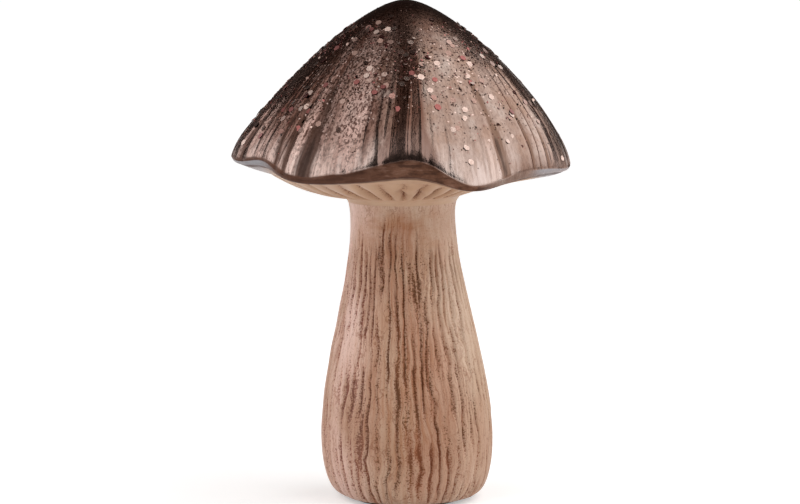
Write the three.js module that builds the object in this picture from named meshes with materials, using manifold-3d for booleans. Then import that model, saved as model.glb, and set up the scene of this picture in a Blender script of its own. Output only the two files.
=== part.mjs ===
// Mushroom ornament. Three hollow earthenware castings (stem, gill disc, cap) are glued together by a
// spigot and a rebate, a felt pad covers the foot, and glitter flakes are stuck on the lacquered cap.
// Millimetres, +Z up. Origin at the centre of the felt's underside, front of the ornament towards -Y.
import * as THREE from 'three';
import { ParametricGeometry } from 'three/addons/geometries/ParametricGeometry.js';
import { mergeVertices } from 'three/addons/utils/BufferGeometryUtils.js';
import Module from 'manifold-3d';

const wasm = await Module();
wasm.setup();

// Joints
const GLUE_LINE = 0.3; // adhesive film between two glued faces

// Felt pad
const FELT_THICKNESS = 1.2;
const FELT_MARGIN = 2; // bare flat of the foot outside the pad

// Stem
const STEM_HEIGHT = 126.3; // foot to the shoulder under the gills
const STEM_LEAN = 2.3; // how far the shoulder stands towards -X of the foot
const STEM_WALL = 4.5;
const FOOT_RADIUS = 26;
const FOOT_REACH = 6; // handle of the curve that rounds the foot into the belly
const BELLY_RADIUS = 36.2;
const BELLY_HEIGHT = 26;
const BELLY_SAG = 18; // handle below the belly
const BELLY_RISE = 29; // handle above the belly
const NECK_RADIUS = 22;
const NECK_DROP = 26; // handle below the neck
const SHOULDER_HEIGHT = 8.3; // neck to the shoulder
const SHOULDER_FLARE = 1.2; // how far the shoulder stands out from the neck
const SHOULDER_LEDGE = 5; // width of the ledge that carries the gill disc
const SPIGOT_HEIGHT = 10;
const VENT_RADIUS = 4.5; // casting vent in the floor, closed by the felt
const STEM_GROOVE_COUNT = 52;
const STEM_GROOVE_DEPTH = 1.1;
const STEM_GROOVE_FADE = 26; // length below the neck over which the grooves grow to full depth
const STEM_GROOVE_WAVER = 0.8; // sideways waver of a groove
const STEM_GROOVE_WAVE = 120; // height over which a groove wavers once

// Cap
const CAP_RADIUS = 71; // to the corners of the lobed rim
const CAP_RISE = 68.3; // lip to apex
const CAP_WALL = 6;
const CAP_APEX_LEAN = 1.3; // apex towards +X of the neck
const CAP_RIM_SHIFT = 0.5; // rim towards -X of the neck
const CAP_APEX_REACH = 20; // handle of the dome's curve at the apex
const CAP_SIDE_RISE = 16; // handle of the dome's curve above the lip
const CAP_SIDE_INSET = 1.5; // how far that handle leans in
const CAP_HOLLOW = 1; // how much flatter the dome is on its -X side
const CAP_LOBE_COUNT = 6;
const CAP_LOBE_DEPTH = 3; // how far the rim draws in between two corners
const CAP_LOBE_SKEW = 0.022; // turn of the front corners, in radians
const CAP_LOBE_DRIFT = 0.087; // uneven spacing of the corners, in radians
const CAP_LOBE_GROWTH = 4; // power by which the lobes grow from the apex to the rim
const CAP_LOBE_DROOP = 5.4; // how far the front and back corners hang down
const CAP_TILT = 2.1; // rim higher on the -X side by this, and lower on the +X side
const CAP_CREASE_COUNT = 48;
const CAP_CREASE_DEPTH = 0.9;
const CAP_CREASE_START = 9; // run from the apex to where the creases start
const CAP_CREASE_FULL = 56; // run from the apex to where they are deepest
const CAP_CREASE_END = 16; // run above the lip over which they flatten again
const CAP_CREASE_SPREAD = 0.02; // uneven spacing of the creases, in radians
const LIP_HEIGHT = 1.6; // outer face of the lip
const LIP_ARCH = 4.8; // how much taller the face is between the two front and the two back corners
const LIP_TUCK = 1.4; // how far the face draws in at its lower edge
const LIP_LIFT = 3.2; // lower edge of the lip above the edge of the gill disc
const LIP_SAG = 0.9; // how far the underside of the lip bulges down
const LIP_SAG_SIDE = 0.6; // more of it on the +X side and less on the -X side
const LIP_WIDTH = 11.5; // rim between two corners, out from the gill disc
const LEDGE_WIDTH = 4; // inner ledge of the cap above the gill disc

// Gill disc
const GILL_DROP = 11; // edge of the disc to the shoulder of the stem
const GILL_EDGE = 4; // thickness at the edge
const GILL_WALL = 4;
const GILL_SAG = 1.2; // how far the fluted face bulges down from a straight cone
const GILL_SAG_SIDE = 1.5; // more of it on the -X side and less on the +X side
const GILL_COUNT = 36;
const GILL_DEPTH = 1.2;
const SOCKET_WALL = 4;

// Carving, as shares: how much the depth of the grooves varies, and how narrow they are cut
const CARVING_UNEVENNESS = 0.4;
const CARVING_SHARPNESS = 1.5;

// Adhesive
const BEAD_THICKNESS = 0.8; // ring between the gill disc and the cap's ledge
const SLEEVE_THICKNESS = 1; // sleeve between the spigot and its socket
const SLEEVE_END = 2; // dry length of the joint at both ends of the sleeve

// Glitter
const FLAKE_WIDTH = 2.4; // across the flats
const FLAKE_THICKNESS = 0.12;
const FLAKE_COUNT = 44;
const FLAKE_START = 22; // run from the apex to the first flake
const FLAKE_END = 20; // run above the lip that stays free of flakes

// Fineness of the surfaces
const GROOVE_COLUMN_COUNT = 3;
const GILL_COLUMN_COUNT = 4;
const PLAIN_COLUMN_COUNT = 48;
const DOME_RING_COUNT = 10;
const LIP_RING_COUNT = 3;
const UNDERSIDE_RING_COUNT = 2;
const GILL_RING_COUNT = 5;
const FOOT_RING_COUNT = 4;
const SIDE_RING_COUNT = 8;
const SHOULDER_RING_COUNT = 2;
const HOLLOW_RING_COUNT = 6;

// Sizes that follow
const TURN = 2 * Math.PI;
const GOLDEN_SHARE = (3 - Math.sqrt(5)) / 2;
const CUT_MARGIN = 1; // how far a cutting body reaches past the face that it cuts
const MERGE_DISTANCE = 1e-4;
const neckHeight = STEM_HEIGHT - SHOULDER_HEIGHT;
const shoulderRadius = NECK_RADIUS + SHOULDER_FLARE;
const spigotRadius = shoulderRadius - SHOULDER_LEDGE;
const stemBore = spigotRadius - STEM_WALL;
const socketRadius = spigotRadius + SLEEVE_THICKNESS + 2 * GLUE_LINE;
const gillRadius = CAP_RADIUS - CAP_LOBE_DEPTH - LIP_WIDTH;
const gillTop = GILL_DROP + GILL_EDGE;
const rebateRadius = gillRadius + GLUE_LINE;
const ledgeRadius = gillRadius - LEDGE_WIDTH;
const ledgeHeight = gillTop + BEAD_THICKNESS + 2 * GLUE_LINE;
const lipHeight = GILL_DROP + LIP_LIFT;
const lipTop = lipHeight + LIP_HEIGHT;
const apexHeight = lipHeight + CAP_RISE;

const { lerp, clamp, smoothstep } = THREE.MathUtils;
const point = (x, y) => new THREE.Vector2(x, y);
const counted = (count) => [...Array(count + 1).keys()];

// Places r and z on the meridian at a turn from the front (-Y), shifted sideways along X.
const onMeridian = (turn, r, z, shift = 0) =>
  new THREE.Vector3(r * Math.sin(turn) + shift, -r * Math.cos(turn), z);

// A closed surface through rings, bottom to top, each a function of the turn. The end rings are points.
function skin(rings, columns) {
  const last = rings.length - 1;
  const surface = (u, v, target) => target.copy(rings[Math.round(v * last)](u * TURN));
  return new ParametricGeometry(surface, columns, last);
}

// A plain turned body from the points of its outline, bottom to top, which ends on the axis twice.
const turned = (outline) =>
  skin(outline.map((p) => (turn) => onMeridian(turn, p.x, p.y)), PLAIN_COLUMN_COUNT);

// A ring about Z from the corners of its section, which stays clear of the axis.
const ringOf = (corners) =>
  new THREE.LatheGeometry([...corners, corners[0]], PLAIN_COLUMN_COUNT).rotateX(Math.PI / 2);

const band = (inner, outer, low, high) =>
  ringOf([point(inner, low), point(outer, low), point(outer, high), point(inner, high)]);

function toSolid(geometry) {
  const bare = geometry.clone();
  bare.deleteAttribute('normal');
  bare.deleteAttribute('uv');
  const merged = mergeVertices(bare, MERGE_DISTANCE);
  const index = merged.index.array;
  const corners = [];
  for (let i = 0; i < index.length; i += 3) {
    const [a, b, c] = index.slice(i, i + 3);
    if (a !== b && b !== c && c !== a) corners.push(a, b, c);
  }
  const vertProperties = new Float32Array(merged.attributes.position.array);
  const triVerts = new Uint32Array(corners);
  return new wasm.Manifold(new wasm.Mesh({ numProp: 3, vertProperties, triVerts }));
}

function toGeometry(solid) {
  const mesh = solid.getMesh();
  const geometry = new THREE.BufferGeometry();
  geometry.setAttribute('position', new THREE.BufferAttribute(new Float32Array(mesh.vertProperties), 3));
  geometry.setIndex(Array.from(mesh.triVerts));
  geometry.computeVertexNormals();
  return geometry;
}

// Carving: 1 at the bottom of each of a number of grooves and 0 on the crests between them
const crest = (count, turn) => Math.abs(Math.sin(count * turn / 2));
const groove = (count, turn) => (1 - crest(count, turn)) ** CARVING_SHARPNESS;
const uneven = (turns, turn, phase) =>
  1 - CARVING_UNEVENNESS + CARVING_UNEVENNESS * Math.sin(turns * turn + phase);

// Stem: a grooved, leaning skin with a spigot on its shoulder, hollow from the vent to the spigot
const footCurve = new THREE.CubicBezierCurve(
  point(FOOT_RADIUS, 0),
  point(FOOT_RADIUS + FOOT_REACH, 0),
  point(BELLY_RADIUS, BELLY_HEIGHT - BELLY_SAG),
  point(BELLY_RADIUS, BELLY_HEIGHT),
);
const sideCurve = (belly, neck) => new THREE.CubicBezierCurve(
  point(belly, BELLY_HEIGHT),
  point(belly, BELLY_HEIGHT + BELLY_RISE),
  point(neck, neckHeight - NECK_DROP),
  point(neck, neckHeight),
);
const shoulderCurve = new THREE.QuadraticBezierCurve(
  point(NECK_RADIUS, neckHeight),
  point(NECK_RADIUS, (neckHeight + STEM_HEIGHT) / 2),
  point(shoulderRadius, STEM_HEIGHT),
);

const stemLean = (z) => -STEM_LEAN * clamp(z / STEM_HEIGHT, 0, 1);

const leaningBody = (outline) =>
  toSolid(skin(outline.map((p) => (turn) => onMeridian(turn, p.x, p.y, stemLean(p.y))), PLAIN_COLUMN_COUNT));

function groovedRing(p) {
  const grown = smoothstep(neckHeight - p.y, 0, STEM_GROOVE_FADE);
  const depth = STEM_GROOVE_DEPTH * grown * smoothstep(p.y, 0, FOOT_REACH);
  const wave = TURN * p.y / STEM_GROOVE_WAVE;
  return (turn) => {
    const r = p.x - depth * uneven(7, turn, wave) * groove(STEM_GROOVE_COUNT, turn);
    const waver = STEM_GROOVE_WAVER * grown * Math.sin(3 * turn + wave) / BELLY_RADIUS;
    return onMeridian(turn + waver, r, p.y, stemLean(p.y));
  };
}

function stemGeometry() {
  const outline = [
    point(0, 0),
    ...footCurve.getPoints(FOOT_RING_COUNT),
    ...sideCurve(BELLY_RADIUS, NECK_RADIUS).getPoints(SIDE_RING_COUNT).slice(1),
    ...shoulderCurve.getPoints(SHOULDER_RING_COUNT).slice(1),
    point(0, STEM_HEIGHT),
  ];
  const spigotTop = STEM_HEIGHT + SPIGOT_HEIGHT;
  const spigot = [
    point(0, neckHeight),
    point(spigotRadius, neckHeight),
    point(spigotRadius, spigotTop),
    point(0, spigotTop),
  ];
  const hollow = [
    point(0, -CUT_MARGIN),
    point(VENT_RADIUS, -CUT_MARGIN),
    point(VENT_RADIUS, STEM_WALL),
    point(FOOT_RADIUS - STEM_WALL, STEM_WALL),
    ...sideCurve(BELLY_RADIUS - STEM_WALL, stemBore).getPoints(HOLLOW_RING_COUNT),
    point(stemBore, spigotTop + CUT_MARGIN),
    point(0, spigotTop + CUT_MARGIN),
  ];
  const body = toSolid(skin(outline.map(groovedRing), STEM_GROOVE_COUNT * GROOVE_COLUMN_COUNT));
  return toGeometry(body.add(leaningBody(spigot)).subtract(leaningBody(hollow)));
}

// Gill disc: a fluted, bulging cone that closes the cap from below, with a socket for the spigot
function gillRing(along) {
  const r = lerp(shoulderRadius, gillRadius, along);
  const depth = GILL_DEPTH * Math.sin(Math.PI * along);
  return (turn) => {
    const sag = GILL_SAG - GILL_SAG_SIDE * Math.sin(turn);
    const face = GILL_DROP * along - 4 * sag * along * (1 - along);
    return onMeridian(turn, r, face + depth * (1 - crest(GILL_COUNT, turn)));
  };
}

function gillDiscGeometry() {
  const rings = [
    (turn) => onMeridian(turn, 0, 0),
    ...counted(GILL_RING_COUNT).map((i) => gillRing(i / GILL_RING_COUNT)),
    (turn) => onMeridian(turn, gillRadius, gillTop),
    (turn) => onMeridian(turn, 0, gillTop),
  ];
  const cutTop = gillTop + CUT_MARGIN;
  const socket = [
    point(0, -CUT_MARGIN),
    point(socketRadius, -CUT_MARGIN),
    point(socketRadius, cutTop),
    point(0, cutTop),
  ];
  const collarRadius = socketRadius + SOCKET_WALL;
  const trough = [
    point(collarRadius, cutTop),
    point(collarRadius, GILL_WALL),
    point((collarRadius + ledgeRadius) / 2, GILL_DROP / 2 + GILL_WALL),
    point(ledgeRadius, gillTop - GILL_EDGE / 2),
    point(ledgeRadius, cutTop),
  ];
  const body = toSolid(skin(rings, GILL_COUNT * GILL_COLUMN_COUNT));
  return toGeometry(body.subtract(toSolid(turned(socket))).subtract(toSolid(ringOf(trough))));
}

// Cap: a creased dome with a lobed, rolled lip, hollow above the rebate that takes the gill disc
const domeCurve = new THREE.CubicBezierCurve(
  point(0, apexHeight),
  point(CAP_APEX_REACH, apexHeight),
  point(CAP_RADIUS - CAP_SIDE_INSET, lipTop + CAP_SIDE_RISE),
  point(CAP_RADIUS, lipTop),
);
const domeRun = domeCurve.getLength();

const creaseTurn = (turn) =>
  turn + CAP_CREASE_SPREAD * (Math.sin(3 * turn + 0.5) + 0.7 * Math.sin(7 * turn + 2));

// 1 at a corner of the rim, 0 half-way between two corners
const cornerShare = (turn) => {
  const spaced = turn + CAP_LOBE_SKEW * Math.cos(turn) - CAP_LOBE_DRIFT * Math.cos(5 * turn);
  return 0.5 - 0.5 * Math.cos(CAP_LOBE_COUNT * spaced);
};

// The lobes act on a point by a share: 0 leaves it on the round form, 1 moves it with the rim. The arch
// lifts it between two corners, at the front and the back.
function lobed(turn, r, z, share, shift, arch = 0) {
  const corner = cornerShare(turn);
  const drawnIn = CAP_LOBE_DEPTH * (1 - corner) * share;
  const hanging = CAP_LOBE_DROOP * corner * Math.abs(Math.cos(turn)) + CAP_TILT * Math.sin(turn);
  const arched = arch * (1 - corner) * Math.cos(turn) ** 2;
  return onMeridian(turn, r - drawnIn, z + (arched - hanging) * share, shift);
}

// A point on the dome, by its turn and its run down the slope from the apex
function domePoint(turn, run) {
  const p = domeCurve.getPointAt(run / domeRun);
  const slope = domeCurve.getTangentAt(run / domeRun);
  const share = (p.x / CAP_RADIUS) ** CAP_LOBE_GROWTH;
  const grown = smoothstep(run, CAP_CREASE_START, CAP_CREASE_FULL);
  const flattened = smoothstep(run, domeRun - CAP_CREASE_END, domeRun) / 2;
  const carved = uneven(5, turn, 1) * groove(CAP_CREASE_COUNT, turn);
  const depth = CAP_CREASE_DEPTH * grown * (1 - flattened) * carved;
  const hollow = CAP_HOLLOW * (0.5 - 0.5 * Math.sin(turn)) ** 2 * 4 * share * (1 - share);
  const shift = lerp(CAP_APEX_LEAN, -CAP_RIM_SHIFT, share);
  const r = p.x - hollow + slope.y * depth;
  return lobed(creaseTurn(turn), r, p.y - slope.x * depth, share, shift, LIP_ARCH);
}

function lipRing(angle) {
  const r = CAP_RADIUS - LIP_TUCK * (1 - Math.cos(angle));
  const z = lipTop - LIP_HEIGHT * Math.sin(angle);
  const arch = LIP_ARCH * (1 - Math.sin(angle));
  return (turn) => lobed(creaseTurn(turn), r, z, 1, -CAP_RIM_SHIFT, arch);
}

function undersideRing(along) {
  const r = lerp(rebateRadius, CAP_RADIUS - LIP_TUCK, along);
  const level = lerp(GILL_DROP, lipHeight, along);
  return (turn) => {
    const sag = LIP_SAG + LIP_SAG_SIDE * Math.sin(turn);
    return lobed(creaseTurn(turn), r, level - 4 * sag * along * (1 - along), along, -CAP_RIM_SHIFT * along);
  };
}

function capGeometry() {
  const domeRing = (along) => (turn) => domePoint(turn, domeRun * along);
  const rings = [
    (turn) => onMeridian(turn, 0, GILL_DROP),
    ...counted(UNDERSIDE_RING_COUNT).map((i) => undersideRing(i / UNDERSIDE_RING_COUNT)),
    ...counted(LIP_RING_COUNT).slice(1).map((i) => lipRing(TURN / 4 * (1 - i / LIP_RING_COUNT))),
    ...counted(DOME_RING_COUNT).slice(1).map((i) => domeRing(1 - i / DOME_RING_COUNT)),
  ];
  const hollowTop = apexHeight - CAP_WALL;
  const hollow = new THREE.CubicBezierCurve(
    point(ledgeRadius, ledgeHeight),
    point(ledgeRadius, ledgeHeight + CAP_SIDE_RISE),
    point(CAP_APEX_REACH - CAP_WALL, hollowTop),
    point(0, hollowTop),
  );
  const cavity = [
    point(0, -CUT_MARGIN),
    point(rebateRadius, -CUT_MARGIN),
    point(rebateRadius, ledgeHeight),
    ...hollow.getPoints(HOLLOW_RING_COUNT),
  ];
  const body = toSolid(skin(rings, CAP_CREASE_COUNT * GROOVE_COLUMN_COUNT));
  return toGeometry(body.subtract(toSolid(turned(cavity))));
}

// Materials
const paint = (color, roughness, metalness) =>
  new THREE.MeshStandardMaterial({ color, roughness, metalness });
const capLacquer = paint(0x6a4d44, 0.32, 0.7);
const stemPaint = paint(0xb98f76, 0.55, 0);
const gillPaint = paint(0xc09b82, 0.6, 0);
const feltCloth = paint(0x2b2422, 0.95, 0);
const clearAdhesive = paint(0xd9cfb6, 0.4, 0);
const flakeFilm = paint(0xd8a091, 0.2, 0.9);

function named(name, geometry, material) {
  const mesh = new THREE.Mesh(geometry, material);
  mesh.name = name;
  return mesh;
}

// A hexagonal flake lies on the crest between two creases, lifted off it by the adhesive film.
function glitterFlake(number) {
  const run = lerp(FLAKE_START, domeRun - FLAKE_END, Math.sqrt(number / FLAKE_COUNT));
  const turn = TURN * (Math.floor(number * GOLDEN_SHARE * CAP_CREASE_COUNT) + 0.5) / CAP_CREASE_COUNT;
  const seat = domePoint(turn, run);
  const reach = FLAKE_WIDTH / 4;
  const turnReach = reach / Math.hypot(seat.x, seat.y);
  const across = domePoint(turn + turnReach, run).sub(domePoint(turn - turnReach, run));
  const down = domePoint(turn, run + reach).sub(domePoint(turn, run - reach));
  const outward = down.cross(across).normalize();
  const cornerRadius = FLAKE_WIDTH / Math.sqrt(3);
  const hexagon = new THREE.CylinderGeometry(cornerRadius, cornerRadius, FLAKE_THICKNESS, 6);
  const flake = named(`glitter_flake_${String(number).padStart(2, '0')}`, hexagon, flakeFilm);
  flake.position.copy(seat).addScaledVector(outward, GLUE_LINE + FLAKE_THICKNESS / 2);
  flake.quaternion.setFromUnitVectors(new THREE.Vector3(0, 1, 0), outward);
  return flake;
}

// Assembly
const ornament = new THREE.Group();

const feltRadius = FOOT_RADIUS - FELT_MARGIN;
const felt = [point(0, 0), point(feltRadius, 0), point(feltRadius, FELT_THICKNESS), point(0, FELT_THICKNESS)];
ornament.add(named('base_felt', turned(felt), feltCloth));

const stem = named('stem_shell', stemGeometry(), stemPaint);
stem.position.z = FELT_THICKNESS + GLUE_LINE;
ornament.add(stem);

const head = new THREE.Group();
head.position.set(-STEM_LEAN, 0, stem.position.z + STEM_HEIGHT + GLUE_LINE);
ornament.add(head);

const sleeveRadius = spigotRadius + GLUE_LINE;
const sleeve = band(sleeveRadius, sleeveRadius + SLEEVE_THICKNESS, SLEEVE_END, SPIGOT_HEIGHT - SLEEVE_END);
const beadLow = gillTop + GLUE_LINE;
const bead = band(ledgeRadius + GLUE_LINE, gillRadius - GLUE_LINE, beadLow, beadLow + BEAD_THICKNESS);
head.add(named('gill_disc', gillDiscGeometry(), gillPaint));
head.add(named('stem_adhesive_sleeve', sleeve, clearAdhesive));
head.add(named('cap_adhesive_ring', bead, clearAdhesive));
head.add(named('cap_shell', capGeometry(), capLacquer));
counted(FLAKE_COUNT).slice(1).forEach((number) => head.add(glitterFlake(number)));

export default ornament;
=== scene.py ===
"""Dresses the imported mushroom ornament: a creased, lacquered cap with glitter stuck on it, a fluted gill disc
and a carved stem with dark wash in its grooves, on a felt pad. Metres, +Z up, the front of the ornament
towards -Y. The forms follow the formulas of the part's source, with the carving cut finer."""

import math
from types import SimpleNamespace

import bpy
import numpy as np
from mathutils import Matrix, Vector


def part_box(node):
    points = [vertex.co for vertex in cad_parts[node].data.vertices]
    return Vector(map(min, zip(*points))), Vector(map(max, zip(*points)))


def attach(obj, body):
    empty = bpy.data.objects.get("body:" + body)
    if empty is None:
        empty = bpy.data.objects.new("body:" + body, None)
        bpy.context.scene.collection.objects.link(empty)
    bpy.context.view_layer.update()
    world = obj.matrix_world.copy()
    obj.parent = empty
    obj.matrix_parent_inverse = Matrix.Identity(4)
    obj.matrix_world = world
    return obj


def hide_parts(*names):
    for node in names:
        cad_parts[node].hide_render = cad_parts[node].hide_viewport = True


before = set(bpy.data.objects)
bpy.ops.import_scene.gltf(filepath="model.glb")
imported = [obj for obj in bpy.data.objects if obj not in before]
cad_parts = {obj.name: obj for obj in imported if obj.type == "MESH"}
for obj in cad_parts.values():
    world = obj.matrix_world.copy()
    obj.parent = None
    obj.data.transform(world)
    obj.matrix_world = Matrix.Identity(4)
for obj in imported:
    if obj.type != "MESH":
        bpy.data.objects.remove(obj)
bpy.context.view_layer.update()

MM = 0.001
TURN = 2 * math.pi

# Sizes of the part's source that the finer forms share
GLUE_LINE = 0.3 * MM
STEM_HEIGHT = 126.3 * MM
STEM_LEAN = 2.3 * MM
STEM_WALL = 4.5 * MM
FOOT_RADIUS = 26 * MM
FOOT_REACH = 6 * MM
BELLY_RADIUS = 36.2 * MM
BELLY_HEIGHT = 26 * MM
BELLY_SAG = 18 * MM
BELLY_RISE = 29 * MM
NECK_RADIUS = 22 * MM
NECK_HEIGHT = 118 * MM
NECK_DROP = 26 * MM
SHOULDER_RADIUS = 23.2 * MM
SPIGOT_RADIUS = 18.2 * MM
SPIGOT_HEIGHT = 10 * MM
VENT_RADIUS = 4.5 * MM
STEM_GROOVES = 52
STEM_GROOVE_WAVER = 0.8 * MM
STEM_GROOVE_WAVE = 120 * MM
CAP_RADIUS = 71 * MM
CAP_WALL = 6 * MM
CAP_APEX_LEAN = 1.3 * MM
CAP_RIM_SHIFT = 0.5 * MM
CAP_APEX_REACH = 20 * MM
CAP_SIDE_RISE = 16 * MM
CAP_SIDE_INSET = 1.5 * MM
CAP_HOLLOW = 1 * MM
CAP_LOBES = 6
CAP_LOBE_DEPTH = 3 * MM
CAP_LOBE_SKEW = 0.022
CAP_LOBE_DRIFT = 0.087
CAP_LOBE_GROWTH = 4
CAP_LOBE_DROOP = 5.4 * MM
CAP_TILT = 2.1 * MM
CAP_CREASES = 48
CAP_CREASE_SPREAD = 0.02
LIP_HEIGHT = 1.6 * MM
LIP_ARCH = 4.8 * MM
LIP_TUCK = 1.4 * MM
LIP_SAG = 0.9 * MM
LIP_SAG_SIDE = 0.6 * MM
LIP_LEVEL = 14.2 * MM  # lower edge of the lip above the shoulder of the stem
APEX_LEVEL = 82.5 * MM
LEDGE_RADIUS = 52.5 * MM
LEDGE_LEVEL = 16.4 * MM
GILL_RADIUS = 56.5 * MM
GILL_DROP = 11 * MM
GILL_EDGE = 4 * MM
GILL_WALL = 4 * MM
GILL_SAG = 1.2 * MM
GILL_SAG_SIDE = 1.5 * MM
GILLS = 36
SOCKET_RADIUS = 19.8 * MM
SOCKET_WALL = 4 * MM

# Places that the frame gives
STEM_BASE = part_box("stem_shell")[0].z
HEAD = np.array([-STEM_LEAN, 0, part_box("gill_disc")[0].z])
FELT_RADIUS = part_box("base_felt")[1].x

# Surface noise
NOISE_ROWS = 64
NOISE_START = 8  # row at which a length of 0 lies


def smoothstep(x, low, high):
    t = np.clip((x - low) / (high - low), 0, 1)
    return t * t * (3 - 2 * t)


def blend(a, b, share):
    return a + (b - a) * share


def noise(turn, along, cells, length, seed):
    """Smooth noise from -1 to 1 that closes round the turn: so many cells a turn, each of that length."""
    lattice = np.random.default_rng(seed).uniform(-1, 1, (NOISE_ROWS, cells))
    u = (turn / TURN) % 1 * cells
    v = along / length + NOISE_START
    column, row = np.floor(u).astype(int), np.floor(v).astype(int)
    across, down = smoothstep(u - column, 0, 1), smoothstep(v - row, 0, 1)

    def corner(rows, columns):
        return lattice[rows % NOISE_ROWS, columns % cells]

    near = blend(corner(row, column), corner(row, column + 1), across)
    far = blend(corner(row + 1, column), corner(row + 1, column + 1), across)
    return blend(near, far, down)


# Curves
def bezier(handles, count):
    """Points along a Bezier curve."""
    t = np.linspace(0, 1, count)[:, None]
    level = [np.array(handle, float) + 0 * t for handle in handles]
    while len(level) > 1:
        level = [blend(a, b, t) for a, b in zip(level, level[1:])]
    return level[0]


def on_meridian(turn, r, z, shift=0.0):
    """Places r and z on the meridian at a turn from the front (-Y), shifted sideways along X."""
    return np.stack(np.broadcast_arrays(r * np.sin(turn) + shift, -r * np.cos(turn), z), axis=-1)


def crest(count, turn):
    return np.abs(np.sin(count * turn / 2))


def groove(count, turn, sharpness):
    """1 at the bottom of each of a number of grooves and 0 on the crests between them."""
    return (1 - crest(count, turn)) ** sharpness


def turns_of(columns):
    return np.linspace(0, TURN, columns, endpoint=False)[None, :]


def side_of(turn):
    """A turn brought to the range from half a turn left of the front to half a turn right of it."""
    return (turn + TURN / 2) % TURN - TURN / 2


# Meshes
COMB_STRETCH = 0.5  # length along the surface that counts as much as one radian around it, in metres


def comb_of(turn, along):
    """Coordinates in which a shader noise is drawn out along the meridians, as brushed paint is."""
    turn, along = np.broadcast_arrays(turn, along)
    return np.stack([np.cos(turn), np.sin(turn), along / COMB_STRETCH], axis=-1)


def padded(values, shape):
    """A mask for all rings of a skin, from its values on the first rings. It is 0 on the others."""
    mask = np.zeros(shape)
    mask[:len(values)] = values
    return mask


def mesh_piece(name, vertices, faces, masks):
    """A smooth mesh object, with a point attribute for each mask."""
    mesh = bpy.data.meshes.new(name)
    mesh.from_pydata(vertices.tolist(), [], faces)
    mesh.shade_smooth()
    for mask, values in masks.items():
        flat = np.asarray(values, np.float32).reshape(len(vertices), -1)
        kind, key = ("FLOAT", "value") if flat.shape[1] == 1 else ("FLOAT_VECTOR", "vector")
        mesh.attributes.new(mask, kind, "POINT").data.foreach_set(key, flat.ravel())
    piece = bpy.data.objects.new(name, mesh)
    bpy.context.scene.collection.objects.link(piece)
    return piece


def numbered(rings):
    """Vertex numbers of rings of points."""
    rows, columns = rings.shape[:2]
    return np.arange(rows * columns).reshape(rows, columns)


def band_faces(numbers):
    """Quads between each ring of vertex numbers and the next."""
    faces = []
    for upper, lower in zip(numbers, numbers[1:]):
        faces += np.stack([upper, lower, np.roll(lower, -1), np.roll(upper, -1)], axis=-1).tolist()
    return faces


def looped_skin(name, rings, masks):
    """A closed skin through rings whose section is itself a closed loop, its visible side first."""
    rings = rings[::-1]
    numbers = numbered(rings)
    faces = band_faces(np.concatenate([numbers, numbers[:1]]))
    turned = {mask: values[::-1] for mask, values in masks.items()}
    return mesh_piece(name, rings.reshape(-1, 3), faces, turned)


def capped_skin(name, rings, masks):
    """A closed skin through rings, drawn together to a point above the first and below the last."""
    numbers = numbered(rings)
    first, last = numbers.size, numbers.size + 1
    faces = band_faces(numbers)
    for a, b in zip(numbers[0], np.roll(numbers[0], -1)):
        faces.append([first, int(a), int(b)])
    for a, b in zip(numbers[-1], np.roll(numbers[-1], -1)):
        faces.append([last, int(b), int(a)])
    ends = np.stack([rings[0].mean(axis=0), rings[-1].mean(axis=0)])
    vertices = np.concatenate([rings.reshape(-1, 3), ends])
    full = {}
    for mask, values in masks.items():
        flat = values.reshape(numbers.size, -1)
        full[mask] = np.concatenate([flat, flat[:1], flat[-1:]])
    return mesh_piece(name, vertices, faces, full)


# Cap
LIP_TOP = LIP_LEVEL + LIP_HEIGHT
CAP_COLUMNS = CAP_CREASES * 24
DOME_RINGS = 210
LIP_RINGS = 14
UNDERSIDE_RINGS = 18
CAVITY_RINGS = 10
DOME_POINTS = 400  # of the curve from the apex to the rim
REBATE_RADIUS = GILL_RADIUS + GLUE_LINE

# Folds that face the front, each by its turn and half-width, in radians, and its share of the full depth
FRONT_FOLDS = (
    (-1.13, 0.030, 0.15),
    (-0.98, 0.036, 0.35),
    (-0.85, 0.030, 0.55),
    (-0.73, 0.030, 0.75),
    (-0.585, 0.070, 1.0),
    (-0.34, 0.016, 0.2),
    (-0.15, 0.016, 0.35),
    (0.15, 0.018, 0.15),
    (0.42, 0.030, 0.25),
    (0.62, 0.040, 0.95),
    (0.91, 0.020, 0.7),
    (1.03, 0.018, 0.6),
    (1.14, 0.026, 0.7),
)
BACK_FOLDS = 26  # folds round the sides and the back
BACK_START = 1.26  # turn to each side of the front where these begin, in radians
BACK_WIDTHS = (0.018, 0.05)
BACK_SHARES = (0.3, 1)
BACK_SEED = 61
FOLD_DEPTH = 1.2 * MM
FOLD_BANK = 0.4  # height of the bank beside a fold, as a share of its depth
FOLD_WANDER = 0.03  # in radians
FOLD_START = 32 * MM  # run from the apex to where the deepest folds start
FOLD_DELAY = 26 * MM  # how much further down the shallowest start
FOLD_FULL = 84 * MM
FOLD_CELLS = 30
# Cell length and first seed of the folds' wide sweep, narrow sweep and uneven depth
FOLD_NOISES = ((26 * MM, 100), (9 * MM, 200), (15 * MM, 300))

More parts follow.
